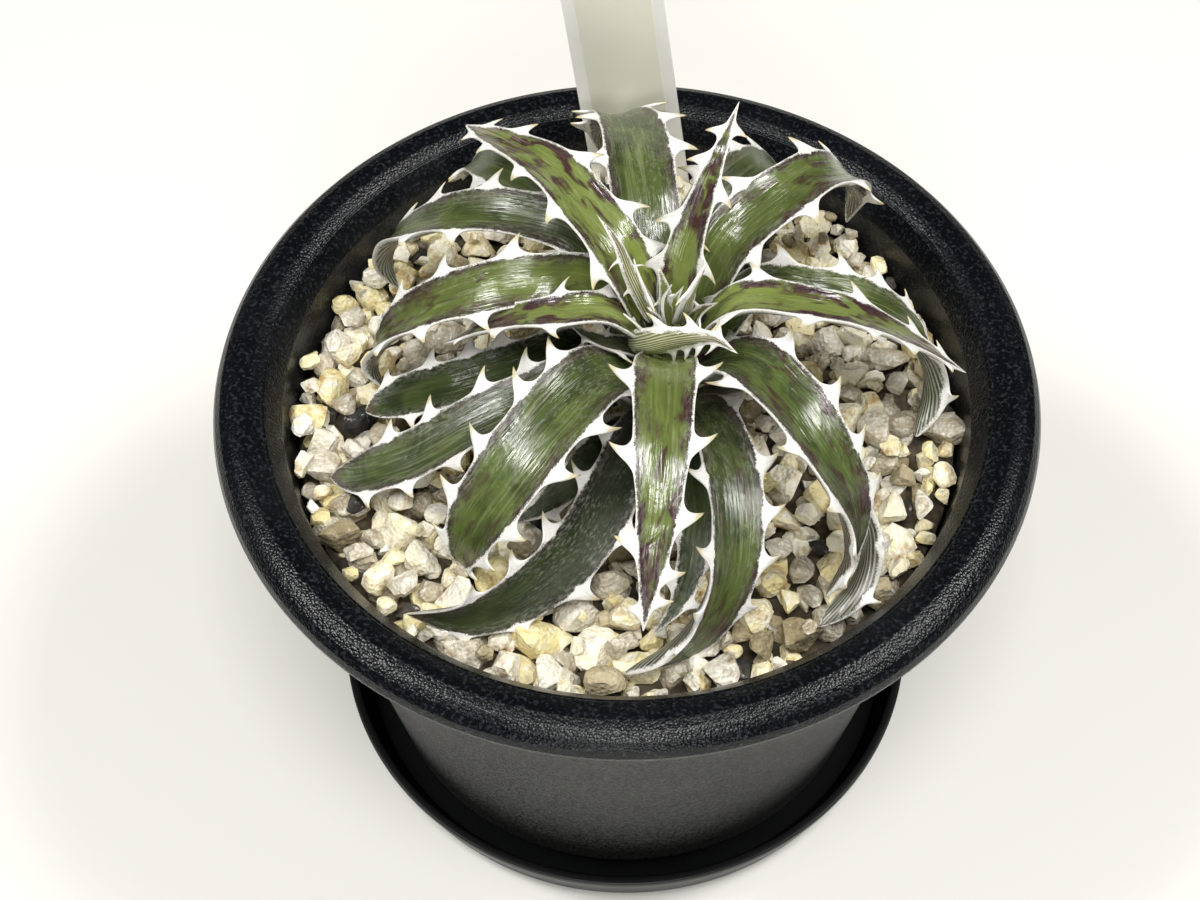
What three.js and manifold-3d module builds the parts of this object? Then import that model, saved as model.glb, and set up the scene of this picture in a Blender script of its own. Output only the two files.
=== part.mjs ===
// A dyckia bromeliad growing in a round plastic pot of stone grit, with a plant label, on its saucer.
// Units are millimetres and +Z is up. The origin is the centre of the saucer's underside, which is
// also on the axis of the pot. Neighbouring pieces keep a hair of air between them.

import * as THREE from 'three';
import { mergeVertices } from 'three/addons/utils/BufferGeometryUtils.js';
import { LoftGeometry } from 'three/addons/geometries/LoftGeometry.js';
import Module from 'manifold-3d';

const wasm = await Module();
wasm.setup();

// ---------------------------------------------------------------- driving dimensions

const gap = 0.3;                 // air between pieces that touch
const roundSegments = 48;        // facets round the pot and the saucer

const rimRadius = 63;            // outside of the pot's rolled rim
const potTop = 84;               // height of the rim above the saucer's underside
const lipHeight = 5;             // depth of the rolled rim
const lipInnerRadius = 57.2;     // inner edge of the rim's flat top
const creaseRadius = 55;         // fine step inside the rim
const wallTopRadius = 52.6;      // inside of the wall, just under the rim
const wallThickness = 2;
const footRadius = 42.7;         // outside of the pot where it stands
const footHeight = 1.5;          // raised ring under the pot's floor
const floorThickness = 2;
const drainRadius = 4;
const drainRingRadius = 25;
const drainCount = 6;
const drainSides = 14;

const saucerRadius = 50;
const saucerHeight = 9;
const saucerFloor = 2.2;
const saucerFootRadius = 47.6;
const saucerWall = 1.5;

const gravelTop = 74.8;          // mean height of the grit
const gravelBump = 0.7;          // how far the bed rises and falls between grains
const gravelRings = 8;
const stoneRoughness = 0.28;     // how far a grain's corners are pushed in and out
const stoneSinking = 0.2;        // share of a grain's height that lies below the bed's mean height

const stemX = 6;                 // the plant stands a little right of the pot's axis
const stemFoot = 66;
const stemTop = 96;
const stemFootRadius = 5;
const stemTopRadius = 2.2;

const bladeDepth = 0.3;          // thickness of a leaf as a share of its width
const bladeMaxDepth = 2.8;
const channelDepth = 0.13;       // how far the upper side is hollowed, as a share of the width
const bladeStations = 12;        // cross sections along a leaf
const bladeEnd = 0.995;          // share of the length where the blade is closed to its point
const heldLength = 0.1;          // share of the length over which the foot widens out
const heldNarrowing = 0.35;
const spineFoot = 1.7;           // half length of a spine's foot along the margin
const spineLeanFoot = 45;        // degrees that a spine leans back, near the foot of the leaf
const spineLeanTip = 15;         // and near its tip
const spineThickness = 0.6;
const spineInset = 0.8;          // how far a spine's foot reaches into the blade

const labelWidth = 16;
const labelThickness = 0.8;
const labelFootZ = 56;
const labelTopZ = 132;
const labelPointLength = 14;
const labelPointHalf = 2;        // half width of the label's blunt point
const labelCornerRadius = 2.5;
const labelX = 0.8;              // where the label crosses the height of the rim
const labelY = 51.1;
const labelLean = 8;             // degrees, leaning back against the rim
const labelTilt = 7.5;           // degrees, leaning to the left
const tapeWidth = 12;
const tapeFootZ = 87;
const tapeTopZ = 129;
const tapeThickness = 0.2;

const potHeightAboveFoot = potTop - lipHeight - saucerFloor;
const potFoot = saucerFloor + gap;
const potFloorTop = potFoot + footHeight + floorThickness;
const wallSlope = (wallTopRadius + wallThickness - footRadius) / potHeightAboveFoot;

// ---------------------------------------------------------------- materials

const plastic = (color, roughness) => new THREE.MeshStandardMaterial({ color, roughness, metalness: 0 });
const materials = {
  pot: plastic('#26272b', 0.5),
  saucer: plastic('#1d1e21', 0.45),
  grit: plastic('#c9bb9c', 0.95),
  pumice: plastic('#e6dcbf', 0.95),
  quartz: plastic('#b9b4a8', 0.45),
  clay: plastic('#a9824f', 0.95),
  lava: plastic('#3b3a3a', 0.9),
  stem: plastic('#8f9068', 0.8),
  heart: plastic('#7f9553', 0.55),
  leaf: plastic('#64804a', 0.55),
  oldLeaf: plastic('#414d38', 0.6),
  label: plastic('#e9e9e4', 0.5),
  tape: plastic('#dfe3d0', 0.4),
};

// ---------------------------------------------------------------- solids and meshes

// A closed solid from a geometry: equal points become one, and slivers without area are dropped.
function solidOf(geometry) {
  const bare = new THREE.BufferGeometry();
  bare.setAttribute('position', geometry.getAttribute('position'));
  bare.setIndex(geometry.getIndex());
  const merged = mergeVertices(bare, 1e-4);
  const corners = Array.from(merged.getIndex().array);
  const kept = [];
  for (let i = 0; i < corners.length; i += 3) {
    const [a, b, c] = corners.slice(i, i + 3);
    if (a !== b && b !== c && c !== a) {
      kept.push(a, b, c);
    }
  }
  return new wasm.Manifold(new wasm.Mesh({
    numProp: 3,
    vertProperties: new Float32Array(merged.getAttribute('position').array),
    triVerts: new Uint32Array(kept),
  }));
}

// The largest separate piece of a solid, which is what is left of a blade or stone after a cut.
function largestPiece(solid) {
  const pieces = solid.decompose();
  return pieces.reduce((best, piece) => (piece.volume() > best.volume() ? piece : best));
}

// A named mesh from a solid.
function meshOf(name, solid, material) {
  const { vertProperties, triVerts } = solid.getMesh();
  const geometry = new THREE.BufferGeometry();
  geometry.setAttribute('position', new THREE.BufferAttribute(vertProperties, 3));
  geometry.setIndex(new THREE.BufferAttribute(triVerts, 1));
  geometry.computeVertexNormals();
  const mesh = new THREE.Mesh(geometry, material);
  mesh.name = name;
  return mesh;
}

// A turned solid from a profile of radius and height, about the Z axis.
function turned(profile, segments) {
  const geometry = new THREE.LatheGeometry(profile.map(([r, z]) => new THREE.Vector2(r, z)), segments);
  return geometry.rotateX(Math.PI / 2);
}

// A repeatable number between 0 and 1 for a place, used to roughen the grit.
function scatter(x, y, seed) {
  const wave = Math.sin(x * 12.99 + y * 78.23 + seed * 37.72) * 43758.55;
  return wave - Math.floor(wave);
}

const dyckia = new THREE.Group();
dyckia.name = 'dyckia_in_pot';

// ---------------------------------------------------------------- saucer

const saucerProfile = [
  [0, 0],
  [saucerFootRadius - 1, 0],
  [saucerFootRadius, 0.6],
  [saucerRadius - 0.8, saucerHeight - 1.4],
  [saucerRadius, saucerHeight - 0.8],
  [saucerRadius, saucerHeight - 0.3],
  [saucerRadius - 0.4, saucerHeight],
  [saucerRadius - saucerWall, saucerHeight],
  [saucerRadius - saucerWall - 0.7, saucerHeight - 1],
  [saucerFootRadius - saucerWall + 0.6, saucerFloor + 1],
  [saucerFootRadius - saucerWall - 0.4, saucerFloor],
  [0, saucerFloor],
];
dyckia.add(meshOf('saucer', solidOf(turned(saucerProfile, roundSegments)), materials.saucer));

// ---------------------------------------------------------------- pot

const outerWallTop = wallTopRadius + wallThickness;
const underLip = potTop - lipHeight;
const innerRadiusAt = (z) => wallTopRadius - wallSlope * (potTop - 4 - z);
const potProfile = [
  [0, potFoot + footHeight],
  [footRadius - 3, potFoot + footHeight],
  [footRadius - 2.4, potFoot],
  [footRadius - 0.4, potFoot],
  [footRadius, potFoot + 0.4],
  [outerWallTop, underLip - 0.6],
  [outerWallTop + 0.5, underLip],
  [rimRadius - 1, underLip],
  [rimRadius, underLip + 1],
  [rimRadius, underLip + 1.8],
  [rimRadius - 0.4, potTop - 2.2],
  [rimRadius - 1.3, potTop - 1.1],
  [rimRadius - 2.7, potTop - 0.35],
  [rimRadius - 4.4, potTop],
  [lipInnerRadius, potTop],
  [lipInnerRadius - 1.5, potTop - 1],
  [creaseRadius, potTop - 2],
  [wallTopRadius, potTop - 4],
  [innerRadiusAt(potFloorTop + 2), potFloorTop + 2],
  [innerRadiusAt(potFloorTop) - 1.5, potFloorTop],
  [0, potFloorTop],
];

function drainHole(x, y) {
  const depth = 4 * (footHeight + floorThickness);
  const drill = new THREE.CylinderGeometry(drainRadius, drainRadius, depth, drainSides);
  return solidOf(drill.rotateX(Math.PI / 2).translate(x, y, potFloorTop));
}

let pot = solidOf(turned(potProfile, roundSegments)).subtract(drainHole(0, 0));
for (let i = 0; i < drainCount; i += 1) {
  const angle = (i / drainCount) * 2 * Math.PI;
  pot = pot.subtract(drainHole(drainRingRadius * Math.cos(angle), drainRingRadius * Math.sin(angle)));
}
dyckia.add(meshOf('pot', pot, materials.pot));

// ---------------------------------------------------------------- leaves

// One row for each leaf, from the heart outwards. midrib: points from the foot to the tip. width: the
// blade's greatest width. taper: a low power narrows evenly to the tip, a high one keeps a blunt end.
// roll: turn of the blade about its midrib at the foot and at the tip, in degrees, left margin up; most
// of the change is near the tip.
// left, right: where the spines stand on each margin, as shares of the length.
const leafRows = [
  { name: 'heart_leaf_1', width: 3, taper: 2, roll: [0, 0], left: [], right: [0.5],
    midrib: [[6.5, -1, 97], [5.5, -0.5, 103], [6.5, -1, 107]] },
  { name: 'heart_leaf_2', width: 3.2, taper: 2, roll: [0, 0], left: [0.5], right: [],
    midrib: [[4.5, 1, 97], [2.5, 1, 104], [1, 3, 108]] },
  { name: 'heart_leaf_3', width: 4.2, taper: 2, roll: [0, 0], left: [0.45], right: [0.6],
    midrib: [[7.5, 0.5, 97], [9, 0, 104], [11.5, 1.5, 109]] },
  { name: 'heart_leaf_4', width: 5.4, taper: 1.4, roll: [-90, -120], left: [0.42, 0.55, 0.68, 0.82],
    right: [0.4, 0.62, 0.82],
    midrib: [[1, -2, 94], [4, -4.6, 98.2], [8, -5.8, 100.8], [12.5, -6.4, 101.5], [16, -8, 100]] },
  { name: 'heart_leaf_5', width: 2.6, taper: 2.4, roll: [140, 170], left: [0.5, 0.75], right: [0.35, 0.6],
    midrib: [[4, 1, 96], [0.5, 3, 104], [-1.5, 5, 109], [-4.5, 8, 112]] },
  { name: 'inner_leaf_1', width: 7, taper: 1.3, roll: [0, 0], left: [0.25, 0.45, 0.72, 0.86],
    right: [0.3, 0.62, 0.87],
    midrib: [[7, 3, 94.5], [8, 5.5, 104], [10.5, 10, 112], [13, 14, 118], [16, 21.5, 121]] },
  { name: 'inner_leaf_2', width: 8.6, taper: 4, roll: [0, 0], left: [0.24, 0.43, 0.62, 0.8, 0.93],
    right: [0.2, 0.34, 0.55, 0.79, 0.92],
    midrib: [[3.5, 2.5, 94.5], [-1, 6, 105.5], [-6, 12, 108.5], [-11.5, 19.5, 109], [-18, 26.5, 106.5],
      [-25, 34.5, 102]] },
  { name: 'inner_leaf_3', width: 6.2, taper: 3, roll: [0, 30], left: [0.45, 0.68, 0.9],
    right: [0.22, 0.42, 0.66, 0.86],
    midrib: [[3, -0.5, 94.5], [-3, -1, 101], [-9.5, -2.5, 102.5], [-16, -1.5, 100], [-21.5, -0.5, 96],
      [-27.5, 0.5, 91]] },
  { name: 'inner_leaf_4', width: 9.6, taper: 2.4, roll: [0, 0], left: [0.27, 0.5, 0.69, 0.84, 0.92],
    right: [0.3, 0.54, 0.77, 0.95],
    midrib: [[6, -3.5, 93], [5.5, -13, 102], [5, -25.5, 103], [4.5, -34, 100], [3.5, -41, 94],
      [2.5, -46.5, 87]] },
  { name: 'inner_leaf_5', width: 7, taper: 3, roll: [-10, -20], left: [0.1, 0.27, 0.58, 0.78, 0.9],
    right: [0.2, 0.42, 0.6, 0.75, 0.92],
    midrib: [[9.5, -0.5, 93], [15.5, 0, 102], [24, -1.5, 104], [32, -2, 102], [41, -1.5, 96],
      [51, -1.5, 87]] },
  { name: 'inner_leaf_6', width: 10.2, taper: 5, roll: [0, 0], left: [0.25, 0.42, 0.62, 0.8, 0.9],
    right: [0.2, 0.44, 0.58, 0.72, 0.86],
    midrib: [[5, 3.7, 91], [3.5, 10, 101], [2.5, 17.5, 105], [1.5, 26.5, 105], [0, 36.5, 101],
      [-2.5, 45, 93], [-4.5, 48, 86], [-4, 47, 81]] },
  { name: 'middle_leaf_1', width: 9, taper: 4, roll: [0, 0], left: [0.15, 0.36, 0.58, 0.72, 0.84],
    right: [0.27, 0.43, 0.63, 0.85],
    midrib: [[9, 3, 90], [14.5, 10.5, 102], [21, 15.5, 105.5], [27.5, 22, 104.5], [33, 28, 99],
      [36, 32.5, 90], [35.5, 34, 80]] },
  { name: 'middle_leaf_2', width: 9.4, taper: 6, roll: [0, -60], left: [0.12, 0.29, 0.46, 0.6, 0.73, 0.86],
    right: [0.15, 0.3, 0.52, 0.67, 0.83, 0.93],
    midrib: [[9, -3, 89], [17, -8.5, 99], [23.5, -16.5, 100], [28.5, -23, 96.5], [32.5, -27.5, 90],
      [33, -31.5, 83], [29, -35, 77.5]] },
  { name: 'middle_leaf_3', width: 11, taper: 7, roll: [0, 0], left: [0.22, 0.4, 0.55, 0.73, 0.87, 0.96],
    right: [0.3, 0.42, 0.6, 0.77, 0.9],
    midrib: [[3, -3, 89], [-4, -10, 97], [-11, -18.5, 97], [-16.5, -25, 93.5], [-21.5, -29, 87],
      [-24, -30.5, 80], [-23.5, -30, 77]] },
  { name: 'middle_leaf_4', width: 7.6, taper: 8, roll: [-25, 50], left: [0.3, 0.5, 0.66, 0.8],
    right: [0.22, 0.41, 0.58, 0.73, 0.84, 0.93],
    midrib: [[2, 1, 88], [-5.5, 6.8, 97.4], [-14, 4.6, 100.8], [-23, 4, 99], [-31.5, 4.5, 93.5],
      [-37.5, 4.5, 87], [-39.5, 4, 81], [-37.5, 2, 77.5]] },
  { name: 'middle_leaf_5', width: 4.4, taper: 2, roll: [0, 0], left: [0.4, 0.7], right: [0.5],
    midrib: [[2, -0.5, 90.5], [0, -1.5, 93], [-4, -2, 95], [-8.5, 1, 95]] },
  { name: 'outer_leaf_1', width: 7.2, taper: 8, roll: [-25, 50], left: [0.3, 0.58, 0.72],
    right: [0.2, 0.38, 0.52, 0.68, 0.79, 0.89],
    midrib: [[2, 2.6, 86.5], [-6, 12, 101.4], [-13.5, 15, 102.7], [-22, 17.5, 101.5], [-30.5, 20.5, 96],
      [-37, 23, 88.5], [-38.5, 23, 82], [-36.5, 21.5, 78]] },
  { name: 'outer_leaf_2', width: 10, taper: 4, roll: [0, 0], left: [0.3, 0.5, 0.68, 0.84, 0.92],
    right: [0.3, 0.5, 0.7, 0.86],
    midrib: [[4.5, 4.5, 82.5], [-4, 19, 95.5], [-12, 25.5, 97.5], [-19.5, 31.5, 96], [-24.5, 38.5, 89.5],
      [-27, 42, 81]] },
  { name: 'outer_leaf_3', width: 9.5, taper: 4, roll: [0, 0], left: [0.3, 0.48, 0.64, 0.77],
    right: [0.35, 0.55, 0.72, 0.86],
    midrib: [[8.2, 4.3, 83.5], [11.5, 20, 94], [15.5, 25.5, 97], [19.5, 31.5, 95.5], [23.5, 38.5, 89],
      [26.5, 42.5, 80]] },
  { name: 'outer_leaf_4', width: 6.8, taper: 12, roll: [20, -95], left: [0.31, 0.46, 0.56, 0.66, 0.74, 0.88],
    right: [0.35, 0.55, 0.75, 0.88],
    midrib: [[10.5, 1.5, 85], [19, 8.5, 94], [28, 6, 97], [36, 5.5, 95], [42, 5, 91], [46, 3, 86],
      [47, -0.5, 81], [44, -7, 78]] },
  { name: 'outer_leaf_5', width: 4.8, taper: 16, roll: [0, -160], left: [0.3, 0.45, 0.55, 0.65, 0.78],
    right: [0.4, 0.6, 0.75, 0.87],
    midrib: [[10, -2.5, 82], [20.5, -6.5, 90], [28, -15, 90], [33.5, -21, 87], [36, -27, 82.5],
      [34, -34, 79], [28, -40, 77.5]] },
  { name: 'outer_leaf_6', width: 8, taper: 14, roll: [0, -85], left: [0.2, 0.4, 0.51, 0.61, 0.72, 0.84],
    right: [0.25, 0.42, 0.6, 0.75, 0.88],
    midrib: [[7.5, -4.5, 82.5], [11.5, -12, 91], [14.5, -22.5, 94], [15.5, -31.5, 92], [14.5, -38.5, 86.5],
      [11, -43, 81], [6, -46, 78.2], [0, -47.5, 76.8]] },
  { name: 'outer_leaf_7', width: 6.5, taper: 3, roll: [0, 0], left: [0.3, 0.5, 0.7, 0.85],
    right: [0.25, 0.45, 0.62, 0.8],
    midrib: [[8, -4.5, 80], [9.5, -15.5, 85], [10.5, -25.5, 85.5], [9.5, -33, 83], [7.5, -38, 80],
      [4, -41.5, 77.5]] },
  { name: 'outer_leaf_8', width: 8.2, taper: 8, roll: [0, -80], left: [0.25, 0.45, 0.6, 0.75, 0.88],
    right: [0.22, 0.38, 0.55, 0.68, 0.82],
    midrib: [[3.5, -4.2, 79], [1.5, -14, 86], [-2, -23.5, 87], [-7, -31.5, 84.5], [-14, -36.5, 81],
      [-22.5, -39.5, 78.5], [-31.5, -38.5, 77.5]] },
  { name: 'outer_leaf_9', width: 7, taper: 3, roll: [0, 0], left: [0.3, 0.55, 0.8],
    right: [0.25, 0.45, 0.65, 0.85],
    midrib: [[3, -4, 76.5], [-2, -11.5, 83], [-7.5, -18, 82], [-12.5, -21.5, 80], [-17, -23.5, 78.5]] },
  { name: 'outer_leaf_10', width: 8, taper: 14, roll: [0, 0], left: [0.35, 0.5, 0.63, 0.77, 0.88],
    right: [0.2, 0.36, 0.5, 0.66, 0.8],
    midrib: [[1.5, -2.2, 81], [-6, -5.2, 91], [-14, -10.5, 92.5], [-23, -13.5, 89.5], [-32, -15.5, 84],
      [-40, -15.5, 79.5], [-44.5, -14.5, 77.5]] },
  { name: 'outer_leaf_11', width: 7.4, taper: 14, roll: [0, 0], left: [0.3, 0.5, 0.82],
    right: [0.3, 0.48, 0.6, 0.75, 0.9],
    midrib: [[1.2, 1, 79], [-7, 2.6, 86.5], [-16, -1, 87.7], [-25, -3, 85.8], [-33.5, -2.5, 81.5],
      [-40, -3, 78.5]] },
];

// Points and frames along a midrib: along runs to the tip, left and up span the cross section. The
// blade starts level across the way the leaf points, is carried along the curve and then rolled.
function framesAlong(row, shares) {
  const points = row.midrib.map((point) => new THREE.Vector3(...point));
  const curve = new THREE.CatmullRomCurve3(points, false, 'centripetal');
  curve.arcLengthDivisions = 400;
  const bearing = curve.getPointAt(1 / 3).sub(curve.getPointAt(0)).setZ(0);
  const level = new THREE.Vector3(-bearing.y, bearing.x, 0).normalize();
  return shares.map((share) => {
    const along = curve.getTangentAt(share);
    level.addScaledVector(along, -level.dot(along)).normalize();
    const roll = THREE.MathUtils.degToRad(THREE.MathUtils.lerp(row.roll[0], row.roll[1], share ** 2));
    const left = level.clone().applyAxisAngle(along, roll);
    const up = new THREE.Vector3().crossVectors(along, left);
    return { share, point: curve.getPointAt(share), along, left, up };
  });
}

// Half the blade's width at a share of its length: narrower where it is held, then to a point.
function halfWidthAt(row, share) {
  const held = 1 - heldNarrowing * Math.exp(-share / heldLength);
  return (row.width / 2) * (1 - share ** row.taper) * held;
}

// The blade of a leaf: hollowed above, round below, closed to a point at the tip. room makes it
// larger all round, which gives the space that its neighbours keep free.
function bladeSolid(row, room) {
  const shares = Array.from({ length: bladeStations }, (_, i) => 1 - (1 - i / (bladeStations - 1)) ** 1.25);
  const sections = framesAlong(row, shares.map((share) => share * bladeEnd)).map((frame) => {
    const half = halfWidthAt(row, frame.share) + room;
    const depth = Math.min(2 * half * bladeDepth, bladeMaxDepth) + room;
    const rise = 2 * half * channelDepth;
    const corner = (side, height) => frame.point.clone()
      .addScaledVector(frame.left, side * half).addScaledVector(frame.up, height);
    return [
      corner(1, rise + room), corner(0, room), corner(-1, rise + room),
      corner(-0.62, -0.62 * depth), corner(0, -depth), corner(0.62, -0.62 * depth),
    ];
  });
  return solidOf(new LoftGeometry(sections, { capStart: true, capEnd: true }));
}

// The spines of one margin: flat cones that lean back towards the foot of the leaf.
function spineSolids(row, shares, side, room) {
  return framesAlong(row, shares).map((frame) => {
    const half = halfWidthAt(row, frame.share);
    const length = (1.2 + 0.34 * row.width) * (1 - 0.45 * frame.share ** 2) + room;
    const lean = THREE.MathUtils.degToRad(THREE.MathUtils.lerp(spineLeanFoot, spineLeanTip, frame.share));
    const outward = frame.left.clone().multiplyScalar(side);
    const reach = outward.clone().multiplyScalar(Math.cos(lean));
    reach.addScaledVector(frame.along, -Math.sin(lean));
    const across = new THREE.Vector3().crossVectors(frame.along, reach).normalize();
    const foot = frame.point.clone()
      .addScaledVector(outward, half - spineInset).addScaledVector(frame.up, 2 * half * channelDepth - 0.25);
    const cone = new THREE.ConeGeometry(1, length + spineInset, 3);
    cone.translate(0, (length + spineInset) / 2, 0).scale(spineFoot + room, 1, spineThickness + room);
    const place = new THREE.Matrix4().makeBasis(frame.along, reach, across).setPosition(foot);
    return solidOf(cone.applyMatrix4(place));
  });
}

function leafSolid(row, room) {
  const parts = [
    bladeSolid(row, room),
    ...spineSolids(row, row.left, 1, room),
    ...spineSolids(row, row.right, -1, room),
  ];
  return wasm.Manifold.union(parts);
}

// ---------------------------------------------------------------- stem

function stemSolid(room) {
  const height = stemTop - stemFoot + 2 * room;
  const cone = new THREE.CylinderGeometry(stemTopRadius + room, stemFootRadius + room, height, 20);
  return solidOf(cone.rotateX(Math.PI / 2).translate(stemX, 0, (stemTop + stemFoot) / 2));
}

dyckia.add(meshOf('stem', stemSolid(0), materials.stem));

// Leaves are placed from the heart outwards, each cut back from the stem and from the leaves inside it.
const agedLeaves = ['outer_leaf_7', 'outer_leaf_8', 'outer_leaf_9', 'outer_leaf_11'];
function leafFinish(name) {
  if (name.startsWith('heart')) {
    return 'heart';
  }
  return agedLeaves.includes(name) ? 'oldLeaf' : 'leaf';
}
const leafSpaces = [];
for (const row of leafRows) {
  const inside = [stemSolid(gap), ...leafSpaces];
  const free = inside.reduce((leaf, space) => leaf.subtract(space), leafSolid(row, 0));
  leafSpaces.push(leafSolid(row, gap));
  dyckia.add(meshOf(row.name, largestPiece(free), materials[leafFinish(row.name)]));
}

// ---------------------------------------------------------------- plant label

// The label stands behind the plant and leans on the rim: its own X runs across, Y up, Z to the front.
const labelPlace = new THREE.Matrix4()
  .makeTranslation(labelX, labelY, potTop)
  .multiply(new THREE.Matrix4().makeRotationX(Math.PI / 2 - THREE.MathUtils.degToRad(labelLean)))
  .multiply(new THREE.Matrix4().makeRotationZ(THREE.MathUtils.degToRad(labelTilt)));

function labelSolid(room) {
  const half = labelWidth / 2 + room;
  const foot = labelFootZ - potTop - room;
  const top = labelTopZ - potTop + room;
  const outline = new THREE.Shape();
  outline.moveTo(labelPointHalf, foot);
  outline.lineTo(half, foot + labelPointLength);
  outline.lineTo(half, top - labelCornerRadius);
  outline.absarc(half - labelCornerRadius, top - labelCornerRadius, labelCornerRadius, 0, Math.PI / 2);
  outline.absarc(labelCornerRadius - half, top - labelCornerRadius, labelCornerRadius, Math.PI / 2, Math.PI);
  outline.lineTo(-half, foot + labelPointLength);
  outline.lineTo(-labelPointHalf, foot);
  const depth = labelThickness + 2 * room;
  const plate = new THREE.ExtrudeGeometry(outline, { depth, bevelEnabled: false, curveSegments: 5 });
  return solidOf(plate.translate(0, 0, -depth / 2).applyMatrix4(labelPlace));
}

function tapeSolid() {
  const strip = new THREE.BoxGeometry(tapeWidth, tapeTopZ - tapeFootZ, tapeThickness);
  const centre = (tapeTopZ + tapeFootZ) / 2 - potTop;
  return solidOf(strip.translate(0, centre, labelThickness / 2 + tapeThickness).applyMatrix4(labelPlace));
}

dyckia.add(meshOf('plant_label', labelSolid(0), materials.label));
dyckia.add(meshOf('label_tape', tapeSolid(), materials.tape));

// ---------------------------------------------------------------- grit

// The larger grains that lie free on the bed: place, size along its own axes, turn and finish.
const stoneRows = [
  { at: [37.5, 30], size: [3.8, 3.6, 3.4], turn: 30, finish: 'quartz' },
  { at: [42.5, 5.5], size: [5.4, 4.4, 4], turn: 10, finish: 'quartz' },
  { at: [38, 1], size: [4.4, 3.6, 3.4], turn: 50, finish: 'pumice' },
  { at: [46.5, -8.5], size: [3.8, 4.4, 3.8], turn: -20, finish: 'pumice' },
  { at: [42, -12.5], size: [4.4, 3.4, 3.2], turn: -10, finish: 'clay' },
  { at: [40, -18.5], size: [5.4, 4.6, 4], turn: -30, finish: 'pumice' },
  { at: [45, -18], size: [3.8, 5.4, 4], turn: -15, finish: 'pumice' },
  { at: [26.3, -29.9], size: [5.2, 5, 4.6], turn: 20, finish: 'quartz' },
  { at: [23.9, -20.6], size: [5.4, 4.2, 3.8], turn: 0, finish: 'pumice' },
  { at: [28.4, -25.2], size: [3.4, 3, 2.8], turn: 60, finish: 'lava' },
  { at: [24.2, -35], size: [3.6, 4.2, 3.4], turn: 25, finish: 'pumice' },
  { at: [20, -42], size: [4.4, 5.2, 4], turn: -35, finish: 'clay' },
  { at: [-34, -27.5], size: [4.8, 4.2, 3.8], turn: 15, finish: 'pumice' },
  { at: [-39.5, -26.5], size: [4.6, 4.4, 4], turn: 70, finish: 'quartz' },
  { at: [-32.5, -32.5], size: [6.4, 4.4, 4.2], turn: -25, finish: 'quartz' },
  { at: [-41.5, -8.5], size: [5.4, 4.4, 4.2], turn: 40, finish: 'quartz' },
  { at: [-43.5, 17], size: [5.4, 4.8, 4.2], turn: 60, finish: 'quartz' },
  { at: [-36.5, 30.5], size: [4.6, 4, 3.6], turn: 0, finish: 'pumice' },
];

// The bed fills the pot up to the grit's mean height and leaves room for everything that stands in it.
function gravelBedSolid() {
  const bottom = potFloorTop + gap;
  const side = (z) => innerRadiusAt(z) - gap * 1.2;
  const rings = Array.from({ length: gravelRings }, (_, i) => side(gravelTop) * (1 - (i + 1) / gravelRings));
  const profile = [
    [0, bottom],
    [side(bottom) - 2.2, bottom],
    [side(bottom + 3), bottom + 3],
    [side(gravelTop), gravelTop],
    ...rings.map((radius) => [Math.max(radius, 0), gravelTop]),
  ];
  const bed = turned(profile, roundSegments);
  const points = bed.getAttribute('position');
  for (let i = 0; i < points.count; i += 1) {
    const [x, y, z] = [points.getX(i), points.getY(i), points.getZ(i)];
    const inside = Math.hypot(x, y) < side(gravelTop) - 1;
    if (inside && z > gravelTop - 0.01) {
      const share = scatter(Math.round(x * 10), Math.round(y * 10), 1);
      points.setZ(i, gravelTop + gravelBump * (2 * share - 1));
    }
  }
  return solidOf(bed);
}

// A broken grain: the corners of an icosahedron pushed in and out, sunk a little into the bed.
function stoneSolid(row, seed, room) {
  const grain = new THREE.IcosahedronGeometry(1, 0);
  const points = grain.getAttribute('position');
  const corner = new THREE.Vector3();
  for (let i = 0; i < points.count; i += 1) {
    corner.fromBufferAttribute(points, i);
    const key = Math.round(corner.x * 10) + Math.round(corner.y * 10) * 3 + Math.round(corner.z * 10) * 7;
    corner.multiplyScalar(1 + stoneRoughness * (scatter(key, seed, 2) - 0.5));
    points.setXYZ(i, corner.x, corner.y, corner.z);
  }
  const [length, breadth, height] = row.size;
  grain.scale(length / 2 + room, breadth / 2 + room, height / 2 + room);
  grain.rotateZ(THREE.MathUtils.degToRad(row.turn));
  const centre = gravelTop + height * (0.5 - stoneSinking);
  return solidOf(grain.translate(row.at[0], row.at[1], centre));
}

const standing = [...leafSpaces, stemSolid(gap), labelSolid(gap)];
const stoneSpaces = [];
stoneRows.forEach((row, index) => {
  const taken = [...standing, ...stoneSpaces];
  const free = taken.reduce((grain, space) => grain.subtract(space), stoneSolid(row, index, 0));
  stoneSpaces.push(stoneSolid(row, index, gap));
  const name = `stone_${String(index + 1).padStart(2, '0')}`;
  dyckia.add(meshOf(name, largestPiece(free), materials[row.finish]));
});

const standingIn = [...standing, ...stoneSpaces];
const bed = standingIn.reduce((solid, space) => solid.subtract(space), gravelBedSolid());
dyckia.add(meshOf('gravel_bed', largestPiece(bed), materials.grit));

export default dyckia;
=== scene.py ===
import math
import random

import bmesh
import bpy
from mathutils import Matrix, Vector, noise


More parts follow.
